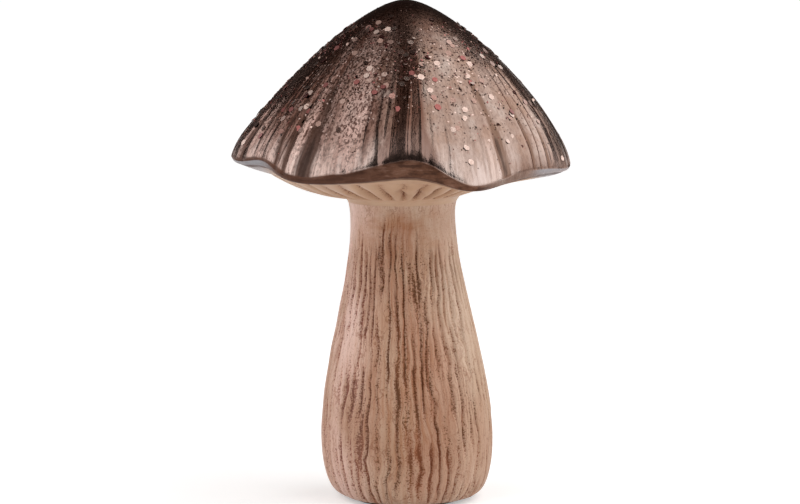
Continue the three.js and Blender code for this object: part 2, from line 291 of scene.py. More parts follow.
FURROW_DEPTH = 0.75 * MM  # of a main crease
FURROW_WANDER = 0.034  # sideways wander of a crease, in radians
FURROW_START = 32 * MM  # run from the apex to where furrows start
FURROW_FULL = 80 * MM
SPLITS = 101
SPLIT_DEPTH = 0.3 * MM  # of the finer furrows between the creases
RIB_HEIGHT = 0.09 * MM  # of the comb marks
RIB_RUN = (14 * MM, 60 * MM)  # run over which they grow
TOE_LENGTH = 5 * MM  # length above the rim over which a furrow runs out
TOE_GAP = 1 * MM
VALLEY_TURN = 0.02  # of the front valley, which is painted dark as shade, in radians
VALLEY_WIDTH = 0.115  # to each side
VALLEY_RIDGES = (-0.09, 0.02, 0.1)  # turns of the thin ridges in the valley
RIDGE_HEIGHT = 0.2 * MM
RIDGE_WIDTH = 0.009  # in radians
LIP_PAINT = 0.8 * MM  # how far the lip's brown paint comes up over the rim
LIP_FADE = 0.8 * MM
LIP_EDGE_RINGS = (-4, 2)  # rings of the lip's lower edge, painted dark as shade, counted from where the lip ends
CROWN_SHADE_RUN = (12 * MM, 48 * MM)  # run over which the painted shade on the crown fades
CROWN_SHADE_LEFT = 9 * MM  # how much further it reaches on the left
SHOULDER_SHADE_RUN = (48 * MM, 76 * MM)  # run over which the painted shade on the left shoulder fades
TIP_REACH = (50 * MM, 59 * MM)  # distance to each side at which the grey overspray starts and is full

# Random patterns: cells a turn, the length of a cell along the surface, and a seed
FURROW_PATH = (30, 22 * MM, 1)
FURROW_STRENGTH = (CAP_CREASES, 45 * MM, 2)
SPLIT_STRENGTH = (70, 30 * MM, 3)
SPLIT_PATH = (60, 9 * MM, 4)
NARROW_RIBS = (430, 13 * MM, 5)
WIDE_RIBS = (190, 30 * MM, 6)
LIP_PAINT_EDGE = (80, 20 * MM, 8)
TOE_HIGHLIGHT_PATCHES = (22, 30 * MM, 9)

dome_line = bezier([
    (0, APEX_LEVEL),
    (CAP_APEX_REACH, APEX_LEVEL),
    (CAP_RADIUS - CAP_SIDE_INSET, LIP_TOP + CAP_SIDE_RISE),
    (CAP_RADIUS, LIP_TOP),
], DOME_POINTS)
dome_steps = np.hypot(*np.diff(dome_line, axis=0).T)
dome_runs = np.append(0, np.cumsum(dome_steps))
dome_slopes = np.gradient(dome_line, dome_runs, axis=0)
DOME_RUN = dome_runs[-1]


def dome_grid():
    """Turns and runs of the dome's rings of points."""
    return turns_of(CAP_COLUMNS), DOME_RUN * np.linspace(0, 1, DOME_RINGS + 1)[1:, None]


def downward(run, low, high):
    """0 above a share of the dome's run and 1 below another."""
    return smoothstep(run, low * DOME_RUN, high * DOME_RUN)


def crease_turn(turn):
    return turn + CAP_CREASE_SPREAD * (np.sin(3 * turn + 0.5) + 0.7 * np.sin(7 * turn + 2))


def corner_share(turn):
    """1 at a corner of the rim, 0 half-way between two corners."""
    warped = turn + CAP_LOBE_SKEW * np.cos(turn) - CAP_LOBE_DRIFT * np.cos(5 * turn)
    return 0.5 - 0.5 * np.cos(CAP_LOBES * warped)


def lobed(turn, r, z, share, shift, arch=0.0):
    """The lobes act on a point by a share: 0 leaves it on the round form, 1 moves it with the rim."""
    corner = corner_share(turn)
    drawn_in = CAP_LOBE_DEPTH * (1 - corner) * share
    hanging = CAP_LOBE_DROOP * corner * np.abs(np.cos(turn)) + CAP_TILT * np.sin(turn)
    arched = arch * (1 - corner) * np.cos(turn) ** 2
    return on_meridian(turn, r - drawn_in, z + (arched - hanging) * share, shift)


def folds_all_round():
    """The folds that face the front, and others strewn round the sides and the back."""
    rng = np.random.default_rng(BACK_SEED)
    pitch = (TURN - 2 * BACK_START) / BACK_FOLDS
    turns = BACK_START + pitch * (np.arange(BACK_FOLDS) + rng.uniform(0.1, 0.9, BACK_FOLDS))
    widths = rng.uniform(*BACK_WIDTHS, BACK_FOLDS)
    shares = rng.uniform(*BACK_SHARES, BACK_FOLDS)
    return [*FRONT_FOLDS, *zip(turns, widths, shares)]


FOLDS = folds_all_round()


def fold_carving(turn, run):
    """Depth of the folds, each with a low bank on its side towards the front, and how far a point lies in a
    fold, where shade is painted, and on a bank, from 0 to 1."""
    depth, painted_shade, raised = 0, 0, 0
    for number, (middle, width, share) in enumerate(FOLDS):
        wide, narrow, uneven = (noise(np.float64(middle), run, FOLD_CELLS, length, seed + number)
                                for length, seed in FOLD_NOISES)
        away = side_of(turn - middle - FOLD_WANDER * (wide + 0.4 * narrow)) / width
        frontward = -np.sign(side_of(middle))
        grown = share * smoothstep(run, FOLD_START + (1 - share) * FOLD_DELAY, FOLD_FULL)
        grown = grown * np.clip(0.85 + 0.4 * uneven, 0, 1)
        bank = np.exp(-((away - 2 * frontward) / 0.9) ** 2)
        depth = depth + grown * (np.exp(-np.abs(away) ** 1.5) - FOLD_BANK * bank)
        painted_shade = np.maximum(painted_shade, grown * np.exp(-away ** 2))
        raised = np.maximum(raised, grown * bank)
    return FOLD_DEPTH * depth, painted_shade, raised


def furrow_carving(turn, run):
    """Depth of the creases and comb marks at a point of the dome, less the thin ridges in the valley."""
    grown = smoothstep(run, FURROW_START, FURROW_FULL)
    toe = 1 - 0.85 * smoothstep(run, DOME_RUN - TOE_LENGTH, DOME_RUN - TOE_GAP)
    wander = FURROW_WANDER * noise(turn, run, *FURROW_PATH)
    side = side_of(turn)
    rougher = blend(0.35, 0.65, smoothstep(-np.sin(turn), -0.1, 0.4))
    calm = 1 - 0.85 * np.exp(-((side - VALLEY_TURN) / VALLEY_WIDTH) ** 4)
    strength = np.clip(0.3 + 0.8 * noise(turn, run, *FURROW_STRENGTH), 0.04, 1.1) * rougher * calm
    main = FURROW_DEPTH * groove(CAP_CREASES, turn + wander, 2.4) * strength
    present = smoothstep(noise(turn, run, *SPLIT_STRENGTH), 0, 0.6) * rougher * calm
    strayed = turn + 1.4 * wander + 0.01 * noise(turn, run, *SPLIT_PATH)
    splits = SPLIT_DEPTH * groove(SPLITS, strayed, 2) * present
    ribs = 0.4 * noise(turn, run, *NARROW_RIBS) + noise(turn, run, *WIDE_RIBS)
    ribs *= RIB_HEIGHT * calm * rougher
    ridged = sum(np.exp(-((side - ridge + 0.3 * wander) / RIDGE_WIDTH) ** 2) for ridge in VALLEY_RIDGES)
    ridges = RIDGE_HEIGHT * ridged * downward(run, 0.42, 0.75)
    return ((main + splits - ridges) * grown + ribs * smoothstep(run, *RIB_RUN)) * toe


def dome_point(turn, run):
    """A point on the dome, by its turn and its run down the slope from the apex."""
    r, z = (np.interp(run, dome_runs, dome_line[:, axis]) for axis in (0, 1))
    slope_r, slope_z = (np.interp(run, dome_runs, dome_slopes[:, axis]) for axis in (0, 1))
    share = (r / CAP_RADIUS) ** CAP_LOBE_GROWTH
    depth = fold_carving(turn, run)[0] + furrow_carving(turn, run)
    hollow = CAP_HOLLOW * (0.5 - 0.5 * np.sin(turn)) ** 2 * 4 * share * (1 - share)
    shift = blend(CAP_APEX_LEAN, -CAP_RIM_SHIFT, share)
    carved_r, carved_z = r - hollow + slope_z * depth, z - slope_r * depth
    return lobed(crease_turn(turn), carved_r, carved_z, share, shift, LIP_ARCH)


def cap_rings(turn, run):
    """Rings of the dome, the lip, the underside and the cavity."""
    rim_turn = crease_turn(turn)
    angle = TURN / 4 * np.linspace(0, 1, LIP_RINGS + 1)[1:, None]
    lip_radius = CAP_RADIUS - LIP_TUCK * (1 - np.cos(angle))
    lip_level = LIP_TOP - LIP_HEIGHT * np.sin(angle)
    lip = lobed(rim_turn, lip_radius, lip_level, 1, -CAP_RIM_SHIFT, LIP_ARCH * (1 - np.sin(angle)))

    along = np.linspace(1, 0, UNDERSIDE_RINGS + 1)[1:, None]
    sag = LIP_SAG + LIP_SAG_SIDE * np.sin(turn)
    radius = blend(REBATE_RADIUS, CAP_RADIUS - LIP_TUCK, along)
    level = blend(GILL_DROP, LIP_LEVEL, along) - 4 * sag * along * (1 - along)
    underside = lobed(rim_turn, radius, level, along, -CAP_RIM_SHIFT * along)

    hollow_top = APEX_LEVEL - CAP_WALL
    hollow = bezier([
        (LEDGE_RADIUS, LEDGE_LEVEL),
        (LEDGE_RADIUS, LEDGE_LEVEL + CAP_SIDE_RISE),
        (CAP_APEX_REACH - CAP_WALL, hollow_top),
        (0, hollow_top),
    ], CAVITY_RINGS)[:-1]
    inner = np.concatenate([[(REBATE_RADIUS, LEDGE_LEVEL)], hollow])
    cavity = on_meridian(turn, inner[:, :1], inner[:, 1:])
    return np.concatenate([dome_point(turn, run), lip, underside, cavity]) + HEAD


def cap_masks(turn, run, rings):
    """Where the finish of the cap changes, and where shade and highlights are painted on it."""
    shape = rings.shape[:2]
    lip_start, lip_end = DOME_RINGS, DOME_RINGS + LIP_RINGS
    side = side_of(turn)
    rosy = smoothstep(-np.sin(turn), -0.15, 0.45)
    fold, bank = fold_carving(turn, run)[1:]

    # Painted shade: the front valley between two lobes is darkened in colour.
    width = VALLEY_WIDTH * (1 + 0.7 * downward(run, 0.8, 0.97))
    valley = 1 - smoothstep(np.abs(side - VALLEY_TURN), 0.75 * width, 1.15 * width)
    valley *= 1 - 0.25 * downward(run, 0.7, 0.9)

    # Painted shade: the crown, the upper left shoulder and the lowest part of the right rim are darkened in
    # colour.
    crown_shade = 1 - smoothstep(run, CROWN_SHADE_RUN[0], CROWN_SHADE_RUN[1] + CROWN_SHADE_LEFT * rosy)
    shoulder_shade = 0.42 * rosy * (1 - smoothstep(run, *SHOULDER_SHADE_RUN))
    rim_shade = 0.5 * smoothstep(side, 0.66, 0.8) * (1 - smoothstep(side, 1.5, 1.8))
    rim_shade = rim_shade * downward(run, 0.9, 0.99)

    # Painted highlight: the toe of the dome just above the rim is lightened in uneven patches, less on the
    # right corner.
    uneven = 0.85 + 0.35 * noise(turn, run, *TOE_HIGHLIGHT_PATCHES) - 0.6 * smoothstep(side, 0.64, 0.8)
    painted = LIP_PAINT * (1 + 0.5 * noise(turn, run, *LIP_PAINT_EDGE)) * (0.4 + 0.6 * rosy)
    browned = 1 - 0.65 * smoothstep(side, 0.42, 0.62) * (1 - smoothstep(side, 1.4, 1.7))
    over_rim = smoothstep(run, DOME_RUN - painted - LIP_FADE, DOME_RUN - painted) * browned
    lip_edge, underside, overspray = np.zeros(shape), np.zeros(shape), np.zeros(shape)
    lip_edge[lip_end + LIP_EDGE_RINGS[0]:lip_end + LIP_EDGE_RINGS[1]] = 1
    underside[lip_end:] = 1
    tips = smoothstep(np.abs(rings[..., 0] - HEAD[0]), *TIP_REACH)
    overspray[lip_start + 1:] = tips[lip_start + 1:]
    run_of_ring = np.concatenate([run, np.full((len(rings) - DOME_RINGS, 1), DOME_RUN)])
    return {
        "rose": np.broadcast_to(rosy, shape),
        "fold": padded(fold, shape),
        "bank": padded(bank, shape),
        "furrow": padded(np.clip(furrow_carving(turn, run) / FURROW_DEPTH, 0, 1), shape),
        "valley": padded(valley * downward(run, 0.15, 0.5), shape),
        "dusk": padded(np.maximum(np.maximum(crown_shade, shoulder_shade), rim_shade), shape),
        "dusting": padded(1 - downward(run, 0.4, 0.9), shape),
        "toe": padded(downward(run, 0.8, 0.96) * np.clip(uneven, 0, 1), shape),
        "lip_face": padded(np.concatenate([over_rim, np.repeat(browned, LIP_RINGS, axis=0)]), shape),
        "lip_edge": lip_edge,
        "underside": underside,
        "overspray": overspray,
        "comb": comb_of(turn, run_of_ring),
    }


def cap_piece():
    turn, run = dome_grid()
    rings = cap_rings(turn, run)
    return capped_skin("mushroom_cap", rings, cap_masks(turn, run, rings))


# Gill disc
GILL_COLUMNS = GILLS * 20
GILL_RINGS = 60
GILL_CUT = 2.4 * MM  # of the grooves between the gills, deepest near the stem
GILL_WANDER = 0.02  # in radians
FILLET = 2.2 * MM  # of paint and filler round the neck of the stem
FILLET_SHARE = 0.075  # of the way out to the rim
GILL_PATH = (24, 12 * MM, 11)
GILL_DEPTHS = (GILLS, 1, 12)


def gill_piece():
    turn = turns_of(GILL_COLUMNS)
    along = np.linspace(0, 1, GILL_RINGS + 1)[:, None]
    flute = 1 - crest(GILLS, turn + GILL_WANDER * noise(turn, along * GILL_RADIUS, *GILL_PATH))
    sag = GILL_SAG - GILL_SAG_SIDE * np.sin(turn)
    face = GILL_DROP * along - 4 * sag * along * (1 - along)
    cut = smoothstep(along, 0.08, 0.22) * (1 - 0.8 * smoothstep(along, 0.4, 1))
    depth = GILL_CUT * cut * (0.85 + 0.35 * noise(turn, along, *GILL_DEPTHS))
    fillet = FILLET * np.clip(1 - along / FILLET_SHARE, 0, 1) ** 2
    fluted_radius = blend(SHOULDER_RADIUS - 2 * GLUE_LINE, REBATE_RADIUS, along)
    fluted = on_meridian(turn, fluted_radius, face + depth * flute - fillet)

    gill_top = GILL_DROP + GILL_EDGE
    collar = SOCKET_RADIUS + SOCKET_WALL
    back = np.array([
        (REBATE_RADIUS, gill_top),
        (LEDGE_RADIUS, gill_top),
        (LEDGE_RADIUS, gill_top - GILL_EDGE / 2),
        ((collar + LEDGE_RADIUS) / 2, GILL_DROP / 2 + GILL_WALL),
        (collar, GILL_WALL),
        (collar, gill_top),
        (SOCKET_RADIUS, gill_top),
        (SOCKET_RADIUS, -GLUE_LINE),
    ])
    rings = np.concatenate([fluted, on_meridian(turn, back[:, :1], back[:, 1:])]) + HEAD
    shape = rings.shape[:2]
    inward = 1 - smoothstep(along, 0.1, 0.85)
    return looped_skin("mushroom_gills", rings, {
        "wash": padded(flute ** 2.2 * (0.35 + 0.65 * inward) * smoothstep(along, 0.08, 0.22), shape),
        # painted shade between the flutes
        "painted_shade": padded(flute ** 1.1 * (0.5 + 0.5 * inward) * smoothstep(along, 0.06, 0.2), shape),
    })


# Stem
STEM_COLUMNS = STEM_GROOVES * 14
FOOT_RINGS = 46
SIDE_RINGS = 190
SHOULDER_RINGS = 14
INSIDE_RINGS = 8
CARVING_DEPTH = 1.5 * MM
CARVING_FADE = 15 * MM  # length below the neck over which the carving grows
CARVING_SPREAD = 9 * MM  # unevenness of where it starts
CARVING_RISE = 3 * MM  # height above the foot over which it runs out
CARVING_WANDER = 0.03  # in radians
SWELL = 0.55 * MM  # of the low ridges between the grooves
DENT = 0.15 * MM
FORKS = 43  # grooves of the second set, which fork from the first
SCRATCHES = 131
SCRATCH_DEPTH = 0.15 * MM  # of the fine lines between the grooves

# Random patterns: cells a turn, the length of a cell along the surface, and a seed
SLOW_PATH = (26, 26 * MM, 21)
QUICK_PATH = (60, 9 * MM, 22)
SHAKY_PATH = (104, 4 * MM, 27)
GROOVE_STRENGTH = (STEM_GROOVES, 16 * MM, 23)
GROOVE_SHARPNESS = (26, 40 * MM, 28)
FORK_STRENGTH = (FORKS, 22 * MM, 26)
SCRATCH_STRENGTH = (90, 20 * MM, 24)
CARVING_STARTS = (40, 1, 29)
DENTS = (40, 9 * MM, 25)
SWELLS = (17, 45 * MM, 30)

# Stretches of the stem's height over which its finish changes
PALE_RISE = (20 * MM, 60 * MM)
WASH_FOOT = (8 * MM, 30 * MM)
WASH_TOP = (60 * MM, 95 * MM)
RIDGE_HIGHLIGHT_FOOT = (35 * MM, 75 * MM)
FRONT_SHADE_FOOT = (6 * MM, 32 * MM)
FRONT_SHADE_TOP = (55 * MM, 90 * MM)
FRONT_SHADE_END = (NECK_HEIGHT - 4 * MM, STEM_HEIGHT)
LOW_SHADE_FOOT = (4 * MM, 32 * MM)
LOW_SHADE_TOP = (15 * MM, 85 * MM)
FLANK_SHADE_TOP = (95 * MM, NECK_HEIGHT)
FOOT_TOP = (4 * MM, 34 * MM)
SMUDGE_FOOT = (NECK_HEIGHT - 26 * MM, NECK_HEIGHT - 6 * MM)
SMUDGE_TOP = (NECK_HEIGHT, STEM_HEIGHT)


def stem_lean(z):
    return -STEM_LEAN * np.clip(z / STEM_HEIGHT, 0, 1)


def stem_carving(turn, z):
    """Grooves and fine scratches of the stem as shares from 0 to 1, and the turn that they follow."""
    slow, quick, shaky = (noise(turn, z, *path) for path in (SLOW_PATH, QUICK_PATH, SHAKY_PATH))
    wander = CARVING_WANDER * (slow + 0.7 * quick + 0.55 * shaky)
    followed = turn + wander
    fronted = np.cos(turn) ** 2
    leftward = smoothstep(-np.sin(turn), 0.3, 0.7)
    lasting = 0.45 + 0.35 * fronted + 0.2 * leftward + 0.95 * noise(turn, z, *GROOVE_STRENGTH)
    forking = 0.25 + 1.1 * noise(turn, z, *FORK_STRENGTH)
    sharpness = np.clip(1.9 - fronted + 0.8 * noise(turn, z, *GROOVE_SHARPNESS), 0.7, 2.6)
    first = groove(STEM_GROOVES, followed, sharpness) * np.clip(lasting, 0, 1)
    second = groove(FORKS, followed + 0.3 * wander + 0.4, sharpness) * np.clip(forking, 0, 1)
    scratched = smoothstep(noise(turn, z, *SCRATCH_STRENGTH), 0, 0.6)
    scratches = groove(SCRATCHES, turn + 0.8 * wander, 2) * scratched
    return np.maximum(first, second), scratches, followed


def stem_outline():
    """Radius and height of the stem's outside, from the foot up."""
    foot = bezier([
        (FOOT_RADIUS, 0),
        (FOOT_RADIUS + FOOT_REACH, 0),
        (BELLY_RADIUS, BELLY_HEIGHT - BELLY_SAG),
        (BELLY_RADIUS, BELLY_HEIGHT),
    ], FOOT_RINGS)
    side = bezier([
        (BELLY_RADIUS, BELLY_HEIGHT),
        (BELLY_RADIUS, BELLY_HEIGHT + BELLY_RISE),
        (NECK_RADIUS, NECK_HEIGHT - NECK_DROP),
        (NECK_RADIUS, NECK_HEIGHT),
    ], SIDE_RINGS)
    shoulder = bezier([
        (NECK_RADIUS, NECK_HEIGHT),
        (NECK_RADIUS, (NECK_HEIGHT + STEM_HEIGHT) / 2),
        (SHOULDER_RADIUS, STEM_HEIGHT),
    ], SHOULDER_RINGS)
    return np.concatenate([foot, side[1:], shoulder[1:]])


def stem_core():
    """Radius and height of the spigot and the stem's inside, from the shoulder down to the vent."""
    spigot_top = STEM_HEIGHT + SPIGOT_HEIGHT
    bore = SPIGOT_RADIUS - STEM_WALL
    inside = bezier([
        (bore, NECK_HEIGHT),
        (bore, NECK_HEIGHT - NECK_DROP),
        (BELLY_RADIUS - STEM_WALL, BELLY_HEIGHT + BELLY_RISE),
        (BELLY_RADIUS - STEM_WALL, BELLY_HEIGHT),
    ], INSIDE_RINGS)
    return np.concatenate([
        [(SPIGOT_RADIUS, STEM_HEIGHT), (SPIGOT_RADIUS, spigot_top), (bore, spigot_top)],
        inside,
        [(FOOT_RADIUS - STEM_WALL, STEM_WALL), (VENT_RADIUS, STEM_WALL), (VENT_RADIUS, 0)],
    ])


def stem_masks(turn, z, grown, carved, scratches, swells):
    """Where the finish of the stem's outside changes, and where shade and highlights are painted on it."""
    sine, cosine = np.sin(turn), np.cos(turn)
    pale = smoothstep(sine, 0.2, 0.6) * smoothstep(z, *PALE_RISE)
    thinner = (1 - 0.22 * smoothstep(z, *WASH_TOP)) * (0.76 + 0.24 * smoothstep(z, *WASH_FOOT))
    # Painted highlight on the ridges between the grooves, weaker on the pale right side and on the flanks low
    # down.
    duller_highlight = 1 - 0.85 * sine ** 2 * (1 - smoothstep(z, *RIDGE_HIGHLIGHT_FOOT))
    # Painted shade on the front and back, weaker near the top and at the foot.
    front_shaded = 1 - 0.6 * smoothstep(z, *FRONT_SHADE_END)
    front_shaded = front_shaded * (1 - 0.14 * smoothstep(z, *FRONT_SHADE_TOP)) * (0.75 + 0.25 * smoothstep(z, *FRONT_SHADE_FOOT))
    # Painted shade: the lower stem is darkened, most on its sides, and so are the flanks up to the neck.
    sideways = np.clip(0.5 + 0.5 * sine ** 2 + 0.15 * sine, 0, 1)
    low_shade = (1 - smoothstep(z, *LOW_SHADE_TOP)) * (0.3 + 0.7 * smoothstep(z, *LOW_SHADE_FOOT))
    flank_shade = 0.6 * smoothstep(np.abs(sine), 0.78, 0.95) * (1 - smoothstep(z, *FLANK_SHADE_TOP))
    return {
        "wash": carved * grown * thinner * (1 - 0.62 * pale),
        "ridge": (1 - carved) * smoothstep(swells, 0, 0.6) * grown * (1 - 0.7 * pale) * duller_highlight,
        "scratch": scratches * grown,
        "front_shade": np.abs(cosine) ** 3 * front_shaded,
        "rose": np.broadcast_to(smoothstep(-sine, 0.2, 0.9), grown.shape),
        "low": np.clip(low_shade * sideways + flank_shade, 0, 1),
        "foot": 1 - smoothstep(z, *FOOT_TOP),
        "smudge": cosine ** 2 * smoothstep(z, *SMUDGE_FOOT) * (1 - smoothstep(z, *SMUDGE_TOP)),
    }


def stem_piece():
    turn = turns_of(STEM_COLUMNS)
    outline = stem_outline()
    r, z = outline[:, :1], outline[:, 1:]
    start = NECK_HEIGHT + CARVING_SPREAD * noise(turn, 0 * z, *CARVING_STARTS)
    grown = smoothstep(start - z, 0, CARVING_FADE)
    carved, scratches, followed = stem_carving(turn, z)
    depth = CARVING_DEPTH * carved + SCRATCH_DEPTH * scratches
    depth = grown * smoothstep(z, 0, CARVING_RISE) * depth
    swells = noise(turn, z, *SWELLS)
    unevenness = DENT * noise(turn, z, *DENTS) + SWELL * swells
    wave = TURN * z / STEM_GROOVE_WAVE
    waver = STEM_GROOVE_WAVER * grown * np.sin(3 * turn + wave) / BELLY_RADIUS
    carving = on_meridian(turn + waver, r - depth + unevenness * grown, z, stem_lean(z))

    hidden = stem_core()
    core = on_meridian(turn, hidden[:, :1], hidden[:, 1:], stem_lean(hidden[:, 1:]))
    rings = np.concatenate([carving, core]) + np.array([0, 0, STEM_BASE])
    outside = stem_masks(turn, z, grown, carved, scratches, swells)
    masks = {name: padded(values, rings.shape[:2]) for name, values in outside.items()}
    turn_of_point = np.concatenate([followed, np.repeat(turn, len(hidden), axis=0)])
    masks["comb"] = comb_of(turn_of_point, np.append(z, hidden[:, 1])[:, None])
    return looped_skin("mushroom_stem", rings, masks)


# Felt pad
FELT_COLUMNS = 180
FELT_ROUND = 0.25 * MM  # rounding and raggedness of its edge
FELT_EDGE = (120, 0.5 * MM, 31)


def felt_piece():
    turn = turns_of(FELT_COLUMNS)
    shares = np.array([0.3, 0.7, 0.97, 1, 1, 0.97, 0.7, 0.3])[:, None]
    levels = [STEM_BASE] * 3 + [STEM_BASE - FELT_ROUND, FELT_ROUND] + [0] * 3
    r, z = FELT_RADIUS * shares, np.array(levels)[:, None]
    ragged_fold_shade = FELT_ROUND * noise(turn, z, *FELT_EDGE) * smoothstep(r, 0.9 * FELT_RADIUS, FELT_RADIUS)
    return capped_skin("felt_pad", on_meridian(turn, r + ragged_fold_shade - FELT_ROUND, z), {})


# Glitter
FLAKE_WIDTH = 2.4 * MM
FLAKE_THICKNESS = 0.1 * MM
FLAKE_LIFT = 0.14 * MM
FINE_LIFT = 0.02 * MM
LARGE_TILT = 0.11
FINE_TILT = 0.25
LARGE_TONES = (0.21, 1)  # of the film, from dark brown over red to pale pink
FINE_TONES = (0, 0.62)
DARK_TONES = (0, 0.26)
LARGE_REACH = 0.58  # share of the run down the dome past which flakes thin out
FINE_REACH = 0.48
GLITTER_SEED = 7
TRIES = 6  # places drawn for each flake, since thinning leaves some out
CLUSTERS = (16, 14 * MM, 41)
APEX_RADIUS = 8 * MM  # smallest radius at which a flake's width is taken as a turn
# Strewn flakes: how many, their width and its spread, their tilt, tones, lift and reach
STREWN_FLAKES = {
    "glitter_large": (290, FLAKE_WIDTH, 0.06, LARGE_TILT, LARGE_TONES, FLAKE_LIFT, LARGE_REACH),
    "glitter_medium": (160, 1.1 * MM, 0.2, FINE_TILT, LARGE_TONES, FLAKE_LIFT, FINE_REACH),
    "glitter_fine": (3600, 0.38 * MM, 0.25, FINE_TILT, FINE_TONES, FINE_LIFT, FINE_REACH),
    "glitter_dark": (480, 0.8 * MM, 0.3, FINE_TILT, DARK_TONES, FINE_LIFT, FINE_REACH),
}


def flake_faces(count):
    """Faces of so many hexagonal prisms, each with six points below and six above."""
    ring = np.arange(6)
    faces = []
    for start in range(0, 12 * count, 12):
        low, high = start + ring, start + 6 + ring
        faces.append(high.tolist())
        faces.append(low[::-1].tolist())
        faces += np.stack([low, np.roll(low, -1), np.roll(high, -1), high], axis=-1).tolist()
    return faces


def unit(vectors):
    """Vectors brought to a length of 1."""
    return vectors / np.linalg.norm(vectors, axis=-1)[:, None]


def flake_mesh(name, centres, normals, widths, tilt, tones, rng):
    """Hexagonal flakes, each turned and tilted at random, with a tone at random between two."""
    count = len(centres)
    normals = unit(normals + rng.normal(0, tilt, (count, 3)))
    across = unit(np.cross(normals, rng.normal(0, 1, (count, 3))))
    beyond = np.cross(normals, across)
    angle = (TURN / 6 * np.arange(6))[None, :, None]
    radius = (widths / math.sqrt(3))[:, None, None]
    flat = radius * (np.cos(angle) * across[:, None] + np.sin(angle) * beyond[:, None])
    thick = FLAKE_THICKNESS / 2 * normals[:, None]
    low, high = centres[:, None] + flat - thick, centres[:, None] + flat + thick
    tone = np.repeat(rng.uniform(*tones, count), 12)
    vertices = np.concatenate([low, high], axis=1).reshape(-1, 3)
    piece = mesh_piece(name, vertices, flake_faces(count), {"tone": tone})
    piece.data.shade_flat()
    return piece


def dome_normal(turn, run):
    """The direction outward from the dome, evened out over the width of a flake to each side."""
    turn_reach = FLAKE_WIDTH / np.maximum(np.interp(run, dome_runs, dome_line[:, 0]), APEX_RADIUS)
    across = dome_point(turn + turn_reach, run) - dome_point(turn - turn_reach, run)
    down = dome_point(turn, run + FLAKE_WIDTH) - dome_point(turn, run - FLAKE_WIDTH)
    return unit(np.cross(down, across))


def scattered(name, count, width, spread, tilt, tones, lift, reach, rng):
    """Flakes strewn over the dome, part of them in clusters, fewer at the apex and on the right and, past a
    share of the run, towards the rim."""
    tries = TRIES * count
    run = DOME_RUN * np.sqrt(rng.uniform(0.003, 0.96, tries))
    turn = rng.uniform(0, TURN, tries)
    thinned = 1 - 0.93 * downward(run, reach, reach + 0.4)
    thinned *= 0.15 + 0.85 * downward(run, 0.12, 0.35)
    thinned *= 0.7 - 0.3 * np.sin(turn)
    clustered = np.clip(0.5 + 0.9 * noise(turn, run, *CLUSTERS), 0.05, 1)
    kept = np.flatnonzero(rng.uniform(0, 1, tries) < thinned * clustered)[:count]
    turn, run = turn[kept], run[kept]
    normals = dome_normal(turn, run)
    widths = width * np.exp(rng.normal(0, spread, len(kept)))
    centres = dome_point(turn, run) + HEAD + lift * normals
    return flake_mesh(name, centres, normals, widths, tilt, tones, rng)


def flake_nodes():
    return sorted(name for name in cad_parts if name.startswith("glitter_flake"))


def node_flakes(rng):
    """One flake at each flake of the frame, laid on the carved dome."""
    turn, run = dome_grid()
    dome = dome_point(turn, run) + HEAD
    turns, runs = [], []
    for name in flake_nodes():
        low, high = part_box(name)
        away = np.linalg.norm(dome - np.array((low + high) / 2), axis=-1)
        row, column = np.unravel_index(away.argmin(), away.shape)
        turns.append(turn[0, column])
        runs.append(run[row, 0])
    turns, runs = np.array(turns), np.array(runs)
    normals = dome_normal(turns, runs)
    centres = dome_point(turns, runs) + HEAD + FLAKE_LIFT * normals
    widths = np.full(len(turns), FLAKE_WIDTH)
    return flake_mesh("glitter_flakes", centres, normals, widths, LARGE_TILT, LARGE_TONES, rng)


# Shader building
def join(tree, value, socket):
    """Feeds a socket with a value or with another node's output."""
    if isinstance(value, bpy.types.NodeSocket):
        tree.links.new(value, socket)
    else:
        socket.default_value = value


def place(tree, kind, inputs=None, **settings):
    """Adds a shader node, sets it up and feeds its inputs."""
    made = tree.nodes.new("ShaderNode" + kind)
    for name, value in settings.items():
        setattr(made, name, value)
    for name, value in (inputs or {}).items():
        join(tree, value, made.inputs[name])
    return made


def maths(tree, operation, first, *others):
    """Works an operation on values, one after another."""
    for other in others:
        first = place(tree, "Math", {0: first, 1: other}, operation=operation).outputs[0]
    return first


def product(tree, *values):
    return maths(tree, "MULTIPLY", *values)


def total(tree, *values):
    return maths(tree, "ADD", *values)


def ranged(tree, value, low, high, start=0.0, end=1.0):
    """Maps a value from one range to another, smoothly and clamped."""
    inputs = {"Value": value, "From Min": low, "From Max": high, "To Min": start, "To Max": end}
    return place(tree, "MapRange", inputs, interpolation_type="SMOOTHSTEP").outputs["Result"]


def mixed(tree, share, a, b, blend_type="MIX"):
    """Mixes two colours by a share."""
    return place(tree, "Mix", {0: share, 6: a, 7: b}, data_type="RGBA", blend_type=blend_type).outputs[2]


def layered(tree, tone, layers, blend_type="MIX"):
    """Lays colours over a tone one after another, each by its share."""
    for share, over in layers:
        tone = mixed(tree, share, tone, over, blend_type)
    return tone


def colour(r, g, b):
    return (r, g, b, 1.0)


def mask_of(tree, name):
    return place(tree, "Attribute", attribute_name=name).outputs["Fac"]


def comb_vector(tree):
    return place(tree, "Attribute", attribute_name="comb").outputs["Vector"]


def stretched(tree, vector, scale):
    return place(tree, "Mapping", {"Vector": vector, "Scale": scale}).outputs["Vector"]


def coordinates(tree, scale=(1, 1, 1)):
    return stretched(tree, place(tree, "TexCoord").outputs["Object"], scale)


def noise_of(tree, vector, scale, detail=3.0, roughness=0.55):
    inputs = {"Vector": vector, "Scale": scale, "Detail": detail, "Roughness": roughness}
    return place(tree, "TexNoise", inputs).outputs["Fac"]


